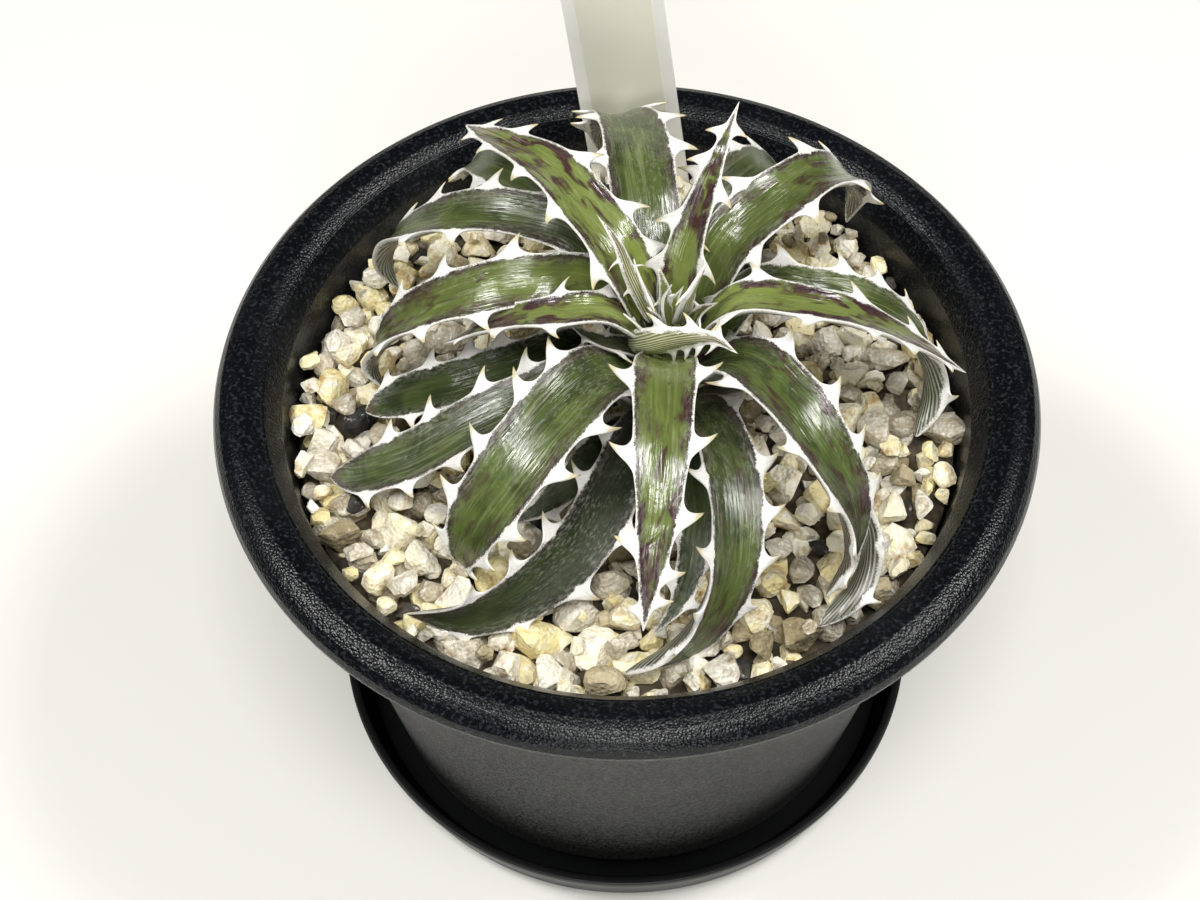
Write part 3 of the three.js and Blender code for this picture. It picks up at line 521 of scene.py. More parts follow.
# The leaves from the heart outwards.
# width: greatest width of the blade, in millimetres. taper: low narrows evenly, high ends bluntly.
# roll: turn about the midrib at foot and tip, in degrees, left margin up.
# age: 0 young to 1 old and dark. blush: how much purple-brown there is. pale: bloom on the skin.
# left, right: where the spines stand, as shares of the length.
# midrib: points from foot to tip, in millimetres.
LEAVES = [
    dict(name="heart_leaf_1", width=3, taper=2, roll=(0, 0),
         age=0, blush=0.2, pale=0.4,
         left=[], right=[0.5],
         midrib=[(6.5, -1, 97), (5.5, -0.5, 103), (6.5, -1, 107)]),
    dict(name="heart_leaf_2", width=3.2, taper=2, roll=(0, 0),
         age=0, blush=0.3, pale=0.4,
         left=[0.5], right=[],
         midrib=[(4.5, 1, 97), (2.5, 1, 104), (1, 3, 108)]),
    dict(name="heart_leaf_3", width=4.2, taper=2, roll=(0, 0),
         age=0, blush=0.3, pale=0.4,
         left=[0.45], right=[0.6],
         midrib=[(7.5, 0.5, 97), (9, 0, 104), (11.5, 1.5, 109)]),
    dict(name="heart_leaf_4", width=5.4, taper=1.4, roll=(-90, -120),
         age=0, blush=0.8, pale=0.5,
         left=[0.42, 0.55, 0.68, 0.82], right=[0.4, 0.62, 0.82],
         midrib=[(1, -2, 94), (4, -4.6, 98.2), (8, -5.8, 100.8), (12.5, -6.4, 101.5),
                 (16, -8, 100)]),
    dict(name="heart_leaf_5", width=2.6, taper=2.4, roll=(140, 170),
         age=0, blush=0.8, pale=0.5,
         left=[0.5, 0.75], right=[0.35, 0.6],
         midrib=[(4, 1, 96), (0.5, 3, 104), (-1.5, 5, 109), (-4.5, 8, 112)]),
    dict(name="inner_leaf_1", width=7, taper=1.3, roll=(0, 0),
         age=0.05, blush=0.94, pale=1,
         left=[0.25, 0.45, 0.72, 0.86], right=[0.3, 0.62, 0.87],
         midrib=[(7, 3, 94.5), (8, 5.5, 104), (10.5, 10, 112), (13, 14, 118), (16, 21.5, 121)]),
    dict(name="inner_leaf_2", width=8.6, taper=4, roll=(0, 0),
         age=0.05, blush=0.95, pale=0.25,
         left=[0.24, 0.43, 0.62, 0.8, 0.93], right=[0.2, 0.34, 0.55, 0.79, 0.92],
         midrib=[(3.5, 2.5, 94.5), (-1, 6, 105.5), (-6, 12, 108.5), (-11.5, 19.5, 109),
                 (-18, 26.5, 106.5), (-25, 34.5, 102)]),
    dict(name="inner_leaf_3", width=6.2, taper=3, roll=(0, 30),
         age=0.05, blush=0.95, pale=0.25,
         left=[0.45, 0.68, 0.9], right=[0.22, 0.42, 0.66, 0.86],
         midrib=[(3, -0.5, 94.5), (-3, -1, 101), (-9.5, -2.5, 102.5), (-16, -1.5, 100),
                 (-21.5, -0.5, 96), (-27.5, 0.5, 91)]),
    dict(name="inner_leaf_4", width=9.6, taper=2.4, roll=(0, 0),
         age=0.12, blush=0.9, pale=0.55,
         left=[0.27, 0.5, 0.69, 0.84, 0.92], right=[0.3, 0.54, 0.77, 0.95],
         midrib=[(6, -3.5, 93), (5.5, -13, 102), (5, -25.5, 103), (4.5, -34, 100), (3.5, -41, 94),
                 (2.5, -46.5, 87)]),
    dict(name="inner_leaf_5", width=7, taper=3, roll=(-10, -20),
         age=0.05, blush=1, pale=0.2,
         left=[0.1, 0.27, 0.58, 0.78, 0.9], right=[0.2, 0.42, 0.6, 0.75, 0.92],
         midrib=[(9.5, -0.5, 93), (15.5, 0, 102), (24, -1.5, 104), (32, -2, 102), (41, -1.5, 96),
                 (51, -1.5, 87)]),
    dict(name="inner_leaf_6", width=10.2, taper=5, roll=(0, 0),
         age=0.25, blush=0.6, pale=0.3,
         left=[0.25, 0.42, 0.62, 0.8, 0.9], right=[0.2, 0.44, 0.58, 0.72, 0.86],
         midrib=[(5, 3.7, 91), (3.5, 10, 101), (2.5, 17.5, 105), (1.5, 26.5, 105), (0, 36.5, 101),
                 (-2.5, 45, 93), (-4.5, 48, 86), (-4, 47, 81)]),
    dict(name="middle_leaf_1", width=9, taper=4, roll=(0, 0),
         age=0.15, blush=0.78, pale=0.25,
         left=[0.15, 0.36, 0.58, 0.72, 0.84], right=[0.27, 0.43, 0.63, 0.85],
         midrib=[(9, 3, 90), (14.5, 10.5, 102), (21, 15.5, 105.5), (27.5, 22, 104.5), (33, 28, 99),
                 (36, 32.5, 90), (35.5, 34, 80)]),
    dict(name="middle_leaf_2", width=9.4, taper=6, roll=(0, -60),
         age=0.25, blush=0.9, pale=0.2,
         left=[0.12, 0.29, 0.46, 0.6, 0.73, 0.86], right=[0.15, 0.3, 0.52, 0.67, 0.83, 0.93],
         midrib=[(9, -3, 89), (17, -8.5, 99), (23.5, -16.5, 100), (28.5, -23, 96.5),
                 (32.5, -27.5, 90), (33, -31.5, 83), (29, -35, 77.5)]),
    dict(name="middle_leaf_3", width=11, taper=7, roll=(0, 0),
         age=0.25, blush=0.5, pale=0.5,
         left=[0.22, 0.4, 0.55, 0.73, 0.87, 0.96], right=[0.3, 0.42, 0.6, 0.77, 0.9],
         midrib=[(3, -3, 89), (-4, -10, 97), (-11, -18.5, 97), (-16.5, -25, 93.5), (-21.5, -29, 87),
                 (-24, -30.5, 80), (-23.5, -30, 77)]),
    dict(name="middle_leaf_4", width=7.6, taper=8, roll=(-25, 50),
         age=0.12, blush=0.65, pale=0.15,
         left=[0.3, 0.5, 0.66, 0.8], right=[0.22, 0.41, 0.58, 0.73, 0.84, 0.93],
         midrib=[(2, 1, 88), (-5.5, 6.8, 97.4), (-14, 4.6, 100.8), (-23, 4, 99), (-31.5, 4.5, 93.5),
                 (-37.5, 4.5, 87), (-39.5, 4, 81), (-37.5, 2, 77.5)]),
    dict(name="middle_leaf_5", width=4.4, taper=2, roll=(0, 0),
         age=0.6, blush=0.2, pale=0.3,
         left=[0.4, 0.7], right=[0.5],
         midrib=[(2, -0.5, 90.5), (0, -1.5, 93), (-4, -2, 95), (-8.5, 1, 95)]),
    dict(name="outer_leaf_1", width=7.2, taper=8, roll=(-25, 50),
         age=0.45, blush=0.35, pale=0.25,
         left=[0.3, 0.58, 0.72], right=[0.2, 0.38, 0.52, 0.68, 0.79, 0.89],
         midrib=[(2, 2.6, 86.5), (-6, 12, 101.4), (-13.5, 15, 102.7), (-22, 17.5, 101.5),
                 (-30.5, 20.5, 96), (-37, 23, 88.5), (-38.5, 23, 82), (-36.5, 21.5, 78)]),
    dict(name="outer_leaf_2", width=10, taper=4, roll=(0, 0),
         age=0.7, blush=0.15, pale=0.05,
         left=[0.3, 0.5, 0.68, 0.84, 0.92], right=[0.3, 0.5, 0.7, 0.86],
         midrib=[(4.5, 4.5, 82.5), (-4, 19, 95.5), (-12, 25.5, 97.5), (-19.5, 31.5, 96),
                 (-24.5, 38.5, 89.5), (-27, 42, 81)]),
    dict(name="outer_leaf_3", width=9.5, taper=4, roll=(0, 0),
         age=0.7, blush=0.15, pale=0.05,
         left=[0.3, 0.48, 0.64, 0.77], right=[0.35, 0.55, 0.72, 0.86],
         midrib=[(8.2, 4.3, 83.5), (11.5, 20, 94), (15.5, 25.5, 97), (19.5, 31.5, 95.5),
                 (23.5, 38.5, 89), (26.5, 42.5, 80)]),
    dict(name="outer_leaf_4", width=6.8, taper=12, roll=(20, -95),
         age=0.25, blush=0.1, pale=0.1,
         left=[0.31, 0.46, 0.56, 0.66, 0.74, 0.88], right=[0.35, 0.55, 0.75, 0.88],
         midrib=[(10.5, 1.5, 85), (19, 8.5, 94), (28, 6, 97), (36, 5.5, 95), (42, 5, 91),
                 (46, 3, 86), (47, -0.5, 81), (44, -7, 78)]),
    dict(name="outer_leaf_5", width=4.8, taper=16, roll=(0, -160),
         age=0.5, blush=0.5, pale=0.2,
         left=[0.3, 0.45, 0.55, 0.65, 0.78], right=[0.4, 0.6, 0.75, 0.87],
         midrib=[(10, -2.5, 82), (20.5, -6.5, 90), (28, -15, 90), (33.5, -21, 87), (36, -27, 82.5),
                 (34, -34, 79), (28, -40, 77.5)]),
    dict(name="outer_leaf_6", width=8, taper=14, roll=(0, -85),
         age=0.45, blush=0.55, pale=0.4,
         left=[0.2, 0.4, 0.51, 0.61, 0.72, 0.84], right=[0.25, 0.42, 0.6, 0.75, 0.88],
         midrib=[(7.5, -4.5, 82.5), (11.5, -12, 91), (14.5, -22.5, 94), (15.5, -31.5, 92),
                 (14.5, -38.5, 86.5), (11, -43, 81), (6, -46, 78.2), (0, -47.5, 76.8)]),
    dict(name="outer_leaf_7", width=6.5, taper=3, roll=(0, 0),
         age=0.5, blush=0.1, pale=0.1,
         left=[0.3, 0.5, 0.7, 0.85], right=[0.25, 0.45, 0.62, 0.8],
         midrib=[(8, -4.5, 80), (9.5, -15.5, 85), (10.5, -25.5, 85.5), (9.5, -33, 83),
                 (7.5, -38, 80), (4, -41.5, 77.5)]),
    dict(name="outer_leaf_8", width=8.2, taper=8, roll=(0, -80),
         age=0.9, blush=0.25, pale=0.6,
         left=[0.25, 0.45, 0.6, 0.75, 0.88], right=[0.22, 0.38, 0.55, 0.68, 0.82],
         midrib=[(3.5, -4.2, 79), (1.5, -14, 86), (-2, -23.5, 87), (-7, -31.5, 84.5),
                 (-14, -36.5, 81), (-22.5, -39.5, 78.5), (-31.5, -38.5, 77.5)]),
    dict(name="outer_leaf_9", width=7, taper=3, roll=(0, 0),
         age=1, blush=0.1, pale=0.1,
         left=[0.3, 0.55, 0.8], right=[0.25, 0.45, 0.65, 0.85],
         midrib=[(3, -4, 76.5), (-2, -11.5, 83), (-7.5, -18, 82), (-12.5, -21.5, 80),
                 (-17, -23.5, 78.5)]),
    dict(name="outer_leaf_10", width=8, taper=14, roll=(0, 0),
         age=0.65, blush=0.3, pale=0.4,
         left=[0.35, 0.5, 0.63, 0.77, 0.88], right=[0.2, 0.36, 0.5, 0.66, 0.8],
         midrib=[(1.5, -2.2, 81), (-6, -5.2, 91), (-14, -10.5, 92.5), (-23, -13.5, 89.5),
                 (-32, -15.5, 84), (-40, -15.5, 79.5), (-44.5, -14.5, 77.5)]),
    dict(name="outer_leaf_11", width=7.4, taper=14, roll=(0, 0),
         age=0.3, blush=0.1, pale=0.1,
         left=[0.3, 0.5, 0.82], right=[0.3, 0.48, 0.6, 0.75, 0.9],
         midrib=[(1.2, 1, 79), (-7, 2.6, 86.5), (-16, -1, 87.7), (-25, -3, 85.8),
                 (-33.5, -2.5, 81.5), (-40, -3, 78.5)]),
]


def course(points, spacing):
    """Even stations on a smooth curve through points: place, direction and share of its length."""
    padded = [2 * points[0] - points[1], *points, 2 * points[-1] - points[-2]]
    fine = []
    for p0, p1, p2, p3 in zip(padded, padded[1:], padded[2:], padded[3:]):
        t1 = (p1 - p0).length ** 0.5
        t2 = t1 + (p2 - p1).length ** 0.5
        t3 = t2 + (p3 - p2).length ** 0.5
        for step in range(CURVE_STEPS):
            t = t1 + (t2 - t1) * step / CURVE_STEPS
            a1 = p0.lerp(p1, t / t1)
            a2 = p1.lerp(p2, (t - t1) / (t2 - t1))
            a3 = p2.lerp(p3, (t - t2) / (t3 - t2))
            b1 = a1.lerp(a2, t / t2)
            b2 = a2.lerp(a3, (t - t1) / (t3 - t1))
            fine.append(b1.lerp(b2, (t - t1) / (t2 - t1)))
    fine.append(points[-1].copy())
    runs = [0.0]
    for here, there in zip(fine, fine[1:]):
        runs.append(runs[-1] + (there - here).length)
    count = max(FEWEST_STATIONS, round(runs[-1] / spacing))
    stations, at = [], 0
    for index in range(count + 1):
        run = runs[-1] * index / count
        while at < len(runs) - 2 and runs[at + 1] < run:
            at += 1
        part = (run - runs[at]) / (runs[at + 1] - runs[at])
        stations.append((fine[at].lerp(fine[at + 1], part), index / count))
    along = [b[0] - a[0] for a, b in zip(stations, stations[1:])]
    along = [along[0]] + [a + b for a, b in zip(along, along[1:])] + [along[-1]]
    ways = zip(stations, along)
    return [(place, way.normalized(), share) for (place, share), way in ways], runs[-1]


def blade_poses(leaf):
    """The blade's pose at each station: X to the left margin, Y up from the blade, Z along it."""
    stations, length = course([Vector(point) * MM for point in leaf["midrib"]], STATION_SPACING)
    bearing = stations[round(len(stations) / 3)][0] - stations[0][0]
    level = Vector((-bearing.y, bearing.x, 0)).normalized()
    poses = []
    for place, along, share in stations:
        level = (level - along * level.dot(along)).normalized()
        roll = math.radians(leaf["roll"][0] + (leaf["roll"][1] - leaf["roll"][0]) * share**2)
        left = Matrix.Rotation(roll, 3, along) @ level
        turn = Matrix((left, along.cross(left), along)).transposed().to_4x4()
        poses.append((Matrix.Translation(place) @ turn, share))
    return poses, length


def half_width(leaf, share):
    """Half the width of the blade at a share of its length."""
    held = 1 - HELD_NARROWING * math.exp(-share / HELD_LENGTH)
    return leaf["width"] * MM / 2 * (1 - (share * TAPERED) ** leaf["taper"]) * held


def slenderness(leaf):
    """How broad the spines of a narrow leaf are, as a share of those of a broad one."""
    return min(1, (leaf["width"] / BROAD) ** 1.5)


def flare(leaf, side, share, length):
    """How near a station is to a spine of that margin, from 0 to 1."""
    spots = leaf["left"] if side > 0 else leaf["right"]
    reach = FLARE_REACH * slenderness(leaf)
    return max((math.exp(-abs(share - spot) * length / reach) for spot in spots), default=0)


def spine_width(height):
    """Width of a spine at a share of its height, as a share of the width of its foot."""
    return max(1e-3, (1 - height) * (0.62 + 0.38 * math.exp(-height / 0.12)))


def grow_spine(maker, layers, faces, pose, side, size, lean):
    """Draws a spine out of a few faces of the margin, narrowing and hooking back as it goes."""
    corners = list(dict.fromkeys(vert for face in faces for vert in face.verts))
    centre = sum((vert.co for vert in corners), Vector()) / len(corners)
    left, up, along = (pose.col[i].xyz for i in range(3))
    place = Matrix((along, up, left * side)).transposed().to_4x4()
    place.translation = centre
    before, grown = Vector(), 0
    for step in range(1, SPINE_STEPS + 1):
        height = (step / SPINE_STEPS) ** 0.9
        hook = -math.sin(lean) * height**1.8
        reach = Vector((hook, 0.13 * height, math.cos(lean) * height)) * size
        # The flanks are hollow: wide at the foot, then slim to the tip.
        narrow = spine_width(height) / spine_width(grown)
        thin = (1 - height) ** 0.6 / (1 - grown) ** 0.6 * (1.5 if step == 1 else 1)
        made = bmesh.ops.extrude_face_region(maker, geom=faces)["geom"]
        bmesh.ops.delete(maker, geom=faces, context="FACES")
        faces = [item for item in made if isinstance(item, bmesh.types.BMFace)]
        verts = [item for item in made if isinstance(item, bmesh.types.BMVert)]
        shrink = Matrix.Diagonal((narrow, thin, 0.45, 1))
        change = Matrix.Translation(reach) @ shrink @ Matrix.Translation(-before)
        if step == SPINE_STEPS:
            tip = place @ reach
            bmesh.ops.pointmerge(maker, verts=verts, merge_co=tip)
            verts = [vert for vert in maker.verts if (vert.co - tip).length < 1e-7]
        else:
            bmesh.ops.transform(maker, matrix=place @ change @ place.inverted(), verts=verts)
        for vert in verts:
            vert[layers["spine"]] = height
            vert[layers["edge"]] = -height * size / MM
            vert[layers["near_spine"]] = 1
        before, grown = reach, height


def grow_leaf(leaf, seed):
    """The bmesh of one leaf, with what its material needs to know stored on each vertex."""
    poses, length = blade_poses(leaf)
    slender = slenderness(leaf)
    maker = bmesh.new()
    layers = {name: maker.verts.layers.float.new(name) for name in LEAF_FACTS}

    # A grid is wrapped round the midrib: columns round the section, rows from foot to tip.
    half_under = [(x, 1) for x in ACROSS[: len(ACROSS) // 2 + 1]]
    section = half_under[::-1] + [(x, 0) for x in ACROSS] + [(-x, 1) for x, _ in half_under]
    columns, rows = len(section) - 1, len(poses) - 1
    bmesh.ops.create_grid(maker, x_segments=columns, y_segments=rows, size=1)
    margins = {1: [], -1: []}
    for vert in maker.verts:
        column = round((vert.co.x + 1) / 2 * columns)
        row = round((vert.co.y + 1) / 2 * rows)
        x, under = section[column]
        pose, share = poses[row]
        half = half_width(leaf, share)
        depth = min(2 * half * BLADE_DEPTH, BLADE_MOST_DEPTH)
        rise = 2 * half * CHANNEL_DEPTH
        margin = min(MARGIN_THICKNESS, 0.5 * half + 0.05 * MM)
        side = 1 if x > 0 else -1
        near = flare(leaf, side, share, length)
        swell = side * FLARE_HEIGHT * near * abs(x) ** 3 * min(1, half / (2 * MM)) * slender
        height = rise * x * x
        if under:
            height = (rise - margin) * abs(x) ** 3 - depth * (1 - abs(x) ** 2.2)
        run = share * length / MM
        # The margin waves every 9 mm or so and the skin every 5 mm, differently on each leaf.
        height += MARGIN_WAVE * x * x * noise.noise(Vector((run / 9, seed * 7.3, side)))
        height += SKIN_WAVE * noise.noise(Vector((x * 1.3, run / 5, seed * 3.1)))
        vert.co = pose @ Vector((half * x + swell, height, 0))
        facts = dict(across=half * x / MM, run=run, edge=(1 - abs(x)) * half / MM, share=share)
        facts.update(under=under, near_spine=near * abs(x), seed=seed * 13.7)
        facts.update(age=leaf["age"], blush=leaf["blush"], pale=leaf["pale"])
        for name, value in facts.items():
            vert[layers[name]] = value
    for face in maker.faces:
        sides = [vert[layers["edge"]] for vert in face.verts]
        if max(sides) < TOUCHING:
            across = sum(vert[layers["across"]] for vert in face.verts)
            share = sum(vert[layers["share"]] for vert in face.verts) / 4
            margins[1 if across > 0 else -1].append((share, face))
    chosen = []
    for side, spots in ((1, leaf["left"]), (-1, leaf["right"])):
        for spot in spots:
            size = (SPINE_BASE + SPINE_GAIN * leaf["width"]) * (1 - SPINE_SHRINK * spot * spot) * MM
            lean = math.radians(SPINE_LEAN - SPINE_STRAIGHTENING * spot)
            foot = min(SPINE_FOOT, 0.55 * size) * slender
            faces = [face for share, face in margins[side] if abs(share - spot) * length < foot]
            pose = min(poses, key=lambda item: abs(item[1] - spot))[0]
            chosen.append((faces, pose, side, size, lean))
    bmesh.ops.remove_doubles(maker, verts=maker.verts[:], dist=2 * TOUCHING)
    for faces, pose, side, size, lean in chosen:
        faces = [face for face in faces if face.is_valid]
        if faces:
            grow_spine(maker, layers, faces, pose, side, size, lean)
    bmesh.ops.holes_fill(maker, edges=[edge for edge in maker.edges if edge.is_boundary], sides=0)
    bmesh.ops.recalc_face_normals(maker, faces=maker.faces[:])
    return maker


PATTERNS = {
    # repeats in a millimetre across and along the blade, detail, how much it is bent
    "grooves": (1.9, 0.09, 3.0, 0.7),
    "patches": (0.24, 0.13, 3.0, 0.8),
    "stains": (0.62, 0.20, 6.0, 0.7),
    "scurf": (3.2, 1.1, 4.0, 0.3),
    "cloud": (0.16, 0.07, 2.0, 0.4),
    "fluff": (6.0, 6.0, 2.0, 0.0),
}
MASKS = {
    # what it is read from, where it begins, where it is full, how strong it is there
    "patchy": ("patches", 0.36, 0.62, 1.0),
    "young": ("age", 0.22, 0.03, 0.8),
    "dulled": ("age", 0.3, 0.8, 0.4),
    # Pale on the ridges of the grooves is a painted highlight, dark in their furrows painted shade.
    "ridge_highlight": ("grooves", 0.50, 0.72, 0.26),
    "furrow_shade": ("grooves", 0.46, 0.32, 0.26),
    "footward": ("share", 0.8, 0.15, 1.0),
    "rooted": ("share", 0.38, 0.05, 0.7),
    "unscaled": ("share", 0.85, 0.45, 1.0),
    "flaked": ("scurf", 0.48, 0.70, 0.55),
    "clouded": ("cloud", 0.40, 0.58, 1.0),
    "near_margin": ("edge", 2.8, 0.9, 1.0),
    "at_margin": ("edge", 1.3, 0.5, 0.65),
    "dusted": ("edge", 2.2, 0.0, 0.4),
    "dust_grain": ("scurf", 0.36, 0.70, 1.0),
    "settled": ("age", 0.01, 0.12, 1.0),
    "toned": ("blush", 0.1, 0.4, 1.0),
    "stained": ("mottle", 0.45, 0.57, 1.0),
    "freckled": ("mottle", 0.58, 0.70, 0.45),
    "broken": ("mottle", 0.30, 0.48, 1.0),
    "ripened": ("ripe", 0.68, 0.86, 0.9),
    "tipward": ("share", 0.55, 1.0, 0.8),
    "lifted": ("grooves", 0.47, 0.58, 1.0),
    "flushed": ("blush", 0.9, 0.97, 1.0),
    "tip": ("share", 0.94, 1.0, 0.8),
    "striped": ("stripes", -0.7, 0.2, 1.0),
    "greened": ("patches", 0.45, 0.7, 0.35),
    "reddened": ("share", 0.3, 0.9, 0.6),
    "turned_under": ("under", 0.3, 0.8, 1.0),
    # Felt greys with age; on the low outer leaves this is also painted shade.
    "aged_felt_and_shade": ("age", 0.0, 1.0, 0.6),
    "spiny": ("near_spine", 0.15, 0.6, 1.0),
    "matted": ("fluff", 0.60, 0.38, 0.25),
    "creamy": ("spine", 0.40, 0.75, 1.0),
    "horny": ("spine", 0.82, 0.97, 1.0),
}
# Masks that hold only together.
PRODUCTS = {
    # Old leaves darken towards the foot: painted shade where the younger leaves cover them.
    "shade_and_wear": ("age", "footward"),
    "bloom": ("flaked", "clouded", "pale", "unscaled"),
    "fresh": ("young", "rooted"),
    "beside": ("near_margin", "stained", "blush"),
    "ripe_skin": ("ripened", "blush"),
    "freckle": ("freckled", "blush"),
    "margin_line": ("at_margin", "broken", "toned"),
    "dust": ("dusted", "dust_grain", "settled"),
    "dried": ("tipward", "lifted", "flushed"),
    "red_below": ("reddened", "blush"),
}
# What is laid over what, from the lowest layer up, and in which colour.
UPPER_LAYERS = [
    ("patchy", "middle"),
    ("young", "#7b8844"),
    ("dulled", "#363d2a"),
    # The ridges' pale green is a painted highlight and the furrows' dark green painted shade.
    ("ridge_highlight", "light"),
    ("furrow_shade", "deep"),
    ("fresh", "#a0b054"),  # young leaves are bright green towards the foot
    ("shade_and_wear", "#181a16"),  # and old ones nearly black at the foot, painted shade
    ("bloom", "#a9ad9d"),  # grey scurf in short streaks, in patches
    ("ripe_skin", "purple"),  # purple-brown towards the tip,
    ("freckle", "purple"),  # in freckles
    ("beside", "purple"),  # and in blotches beside the margin
    ("dust", "#a39e97"),
    ("margin_line", "#33232a"),
    ("dried", "#b3a7a0"),  # the skin lifts in pale lines as a tip dries
    ("tip", "#54403a"),
]
UNDER_LAYERS = [("striped", "dark_stripe"), ("greened", "#566142"), ("red_below", "purple")]
FELT = "#f0ede6"
FELT_LAYERS = [
    # greyer felt on older leaves: partly age, partly painted shade on the low outer leaves
    ("aged_felt_and_shade", "#77746a"),
    ("spiny", "#fbf9f5"),
    ("matted", "#a8a297"),
    ("creamy", "#e3d8b0"),
    ("horny", "#7a5638"),
]
# How much duller the wax is under each.
ROUGHENING = {"bloom": 0.4, "dust": 0.5, "age": 0.25}


def leaf_skin(name, gloss, felt_width, colours, stripe_pitch):
    """Waxy skin of a leaf, streaked along the blade, with white felt on margins and spines."""
    tree, shader = surface(name, IOR=1.52, Specular_IOR_Level=gloss)
    told = {fact: add(tree, "Attribute", attribute_name=fact).outputs["Fac"] for fact in LEAF_FACTS}
    spot = add(tree, "CombineXYZ", {"X": told["across"], "Y": told["run"], "Z": told["seed"]})
    for pattern, (across, along, detail, bend) in PATTERNS.items():
        stretch = add(tree, "Mapping", {"Vector": spot, "Scale": (across, along, 1)})
        told[pattern] = add(
            tree,
            "TexNoise",
            {"Vector": stretch, "Scale": 1.0, "Detail": detail, "Distortion": bend},
        )
    # Blotches are stains drawn out by the grooves, and ripen into purple-brown towards the tip.
    streak = add(tree, "Math", {0: told["grooves"], 1: 0.44, 2: -0.22}, operation="MULTIPLY_ADD")
    told["mottle"] = add(tree, "Math", {0: told["stains"], 1: streak})
    ripe = add(tree, "Math", {0: told["share"], 1: told["blush"]}, operation="MULTIPLY")
    told["ripe"] = add(tree, "Math", {0: ripe, 1: 0.4, 2: told["mottle"]}, operation="MULTIPLY_ADD")
    turn = add(
        tree, "Math", {0: told["across"], 1: 2 * math.pi / stripe_pitch}, operation="MULTIPLY"
    )
    told["stripes"] = add(tree, "Math", {0: turn}, operation="SINE")
    for mask, (source, begin, full, strength) in MASKS.items():
        step = {"Value": told[source], "From Min": begin, "From Max": full, "To Max": strength}
        told[mask] = add(tree, "MapRange", step, interpolation_type="SMOOTHSTEP")
    for mask, (first, *others) in PRODUCTS.items():
        told[mask] = told[first]
        for other in others:
            told[mask] = add(tree, "Math", {0: told[mask], 1: told[other]}, operation="MULTIPLY")

    # White felt: a thin ragged line on the margin, which widens where it runs out on a spine.
    spread = add(tree, "Math", {0: told["near_spine"], 1: 2.5}, operation="POWER")
    ragged = add(tree, "Math", {0: told["scurf"], 1: 0.6, 2: -0.32}, operation="MULTIPLY_ADD")
    ragged = add(tree, "Math", {0: told["fluff"], 1: 0.6, 2: ragged}, operation="MULTIPLY_ADD")
    ragged = add(tree, "Math", {0: ragged, 1: felt_width})
    limit = add(tree, "Math", {0: spread, 1: 1.0, 2: ragged}, operation="MULTIPLY_ADD")
    past = add(tree, "Math", {0: told["edge"], 1: limit}, operation="SUBTRACT")
    felted = add(tree, "MapRange", {"Value": past, "From Min": 0.12, "From Max": -0.1})

    sides = []
    for side, layers in (
        (colours["deep"], UPPER_LAYERS),
        (colours["stripe"], UNDER_LAYERS),
        (FELT, FELT_LAYERS),
    ):
        for mask, tone in layers:
            over = colours.get(tone, tone)
            side = add(tree, "MixRGB", {"Fac": told[mask], "Color1": side, "Color2": over})
        sides.append(side)
    upper, below, felt = sides
    colour = add(tree, "MixRGB", {"Fac": told["turned_under"], "Color1": upper, "Color2": below})
    colour = add(tree, "MixRGB", {"Fac": felted, "Color1": colour, "Color2": felt})

    # The wax is smooth where it is whole, and dull on the grooves, under scurf and on old leaves.
    dull = {"From Min": 0.35, "From Max": 0.65, "To Min": 0.11, "To Max": 0.24}
    rough = add(tree, "MapRange", {"Value": told["grooves"], **dull})
    for mask, roughening in ROUGHENING.items():
        rough = add(
            tree, "Math", {0: told[mask], 1: roughening, 2: rough}, operation="MULTIPLY_ADD"
        )
    rough = add(tree, "MixRGB", {"Fac": felted, "Color1": rough, "Color2": (0.9, 0.9, 0.9, 1)})
    relief = add(
        tree, "Math", {0: told["patches"], 1: 2.5, 2: told["grooves"]}, operation="MULTIPLY_ADD"
    )
    relief = add(tree, "MixRGB", {"Fac": felted, "Color1": relief, "Color2": told["fluff"]})
    bump = add(tree, "Bump", {"Height": relief, "Strength": 0.95, "Distance": 0.14 * MM})
    dress(shader, Base_Color=colour, Roughness=rough, Normal=bump)


# The skin's dark green, also in its furrows as painted shade, its middle green, and its pale green
# on its ridges as painted highlight, its purple-brown, and the underside's pale and dark stripes.
TONES = ["deep", "middle", "light", "purple", "stripe", "dark_stripe"]
YOUNG_COLOURS = ["#86954f", "#a9b871", "#d6dcb0", "#4a262c", "#cdcfae", "#76774a"]
GROWN_COLOURS = ["#3a4622", "#586731", "#a0ab76", "#3e2126", "#a6a899", "#3a412f"]
OLD_COLOURS = ["#2a331d", "#3f4b28", "#56603f", "#241619", "#989b8a", "#2c3224"]
AGED = ["outer_leaf_7", "outer_leaf_8", "outer_leaf_9", "outer_leaf_11"]
SKINS = {
    # material, slot, gloss, how much wider its felt is, colours, millimetres between stripes
    "heart": ("young_leaf_skin", "heart_leaf", 0.6, 0.0, YOUNG_COLOURS, 0.33),
    "grown": ("waxy_leaf_skin", "leaf", 0.9, -0.06, GROWN_COLOURS, 0.42),
    "old": ("old_leaf_skin", "aged_leaf", 0.2, -0.08, OLD_COLOURS, 0.42),
}
for skin, _, gloss, felt_width, tones, stripe_pitch in SKINS.values():
    leaf_skin(skin, gloss, felt_width, dict(zip(TONES, tones)), stripe_pitch)

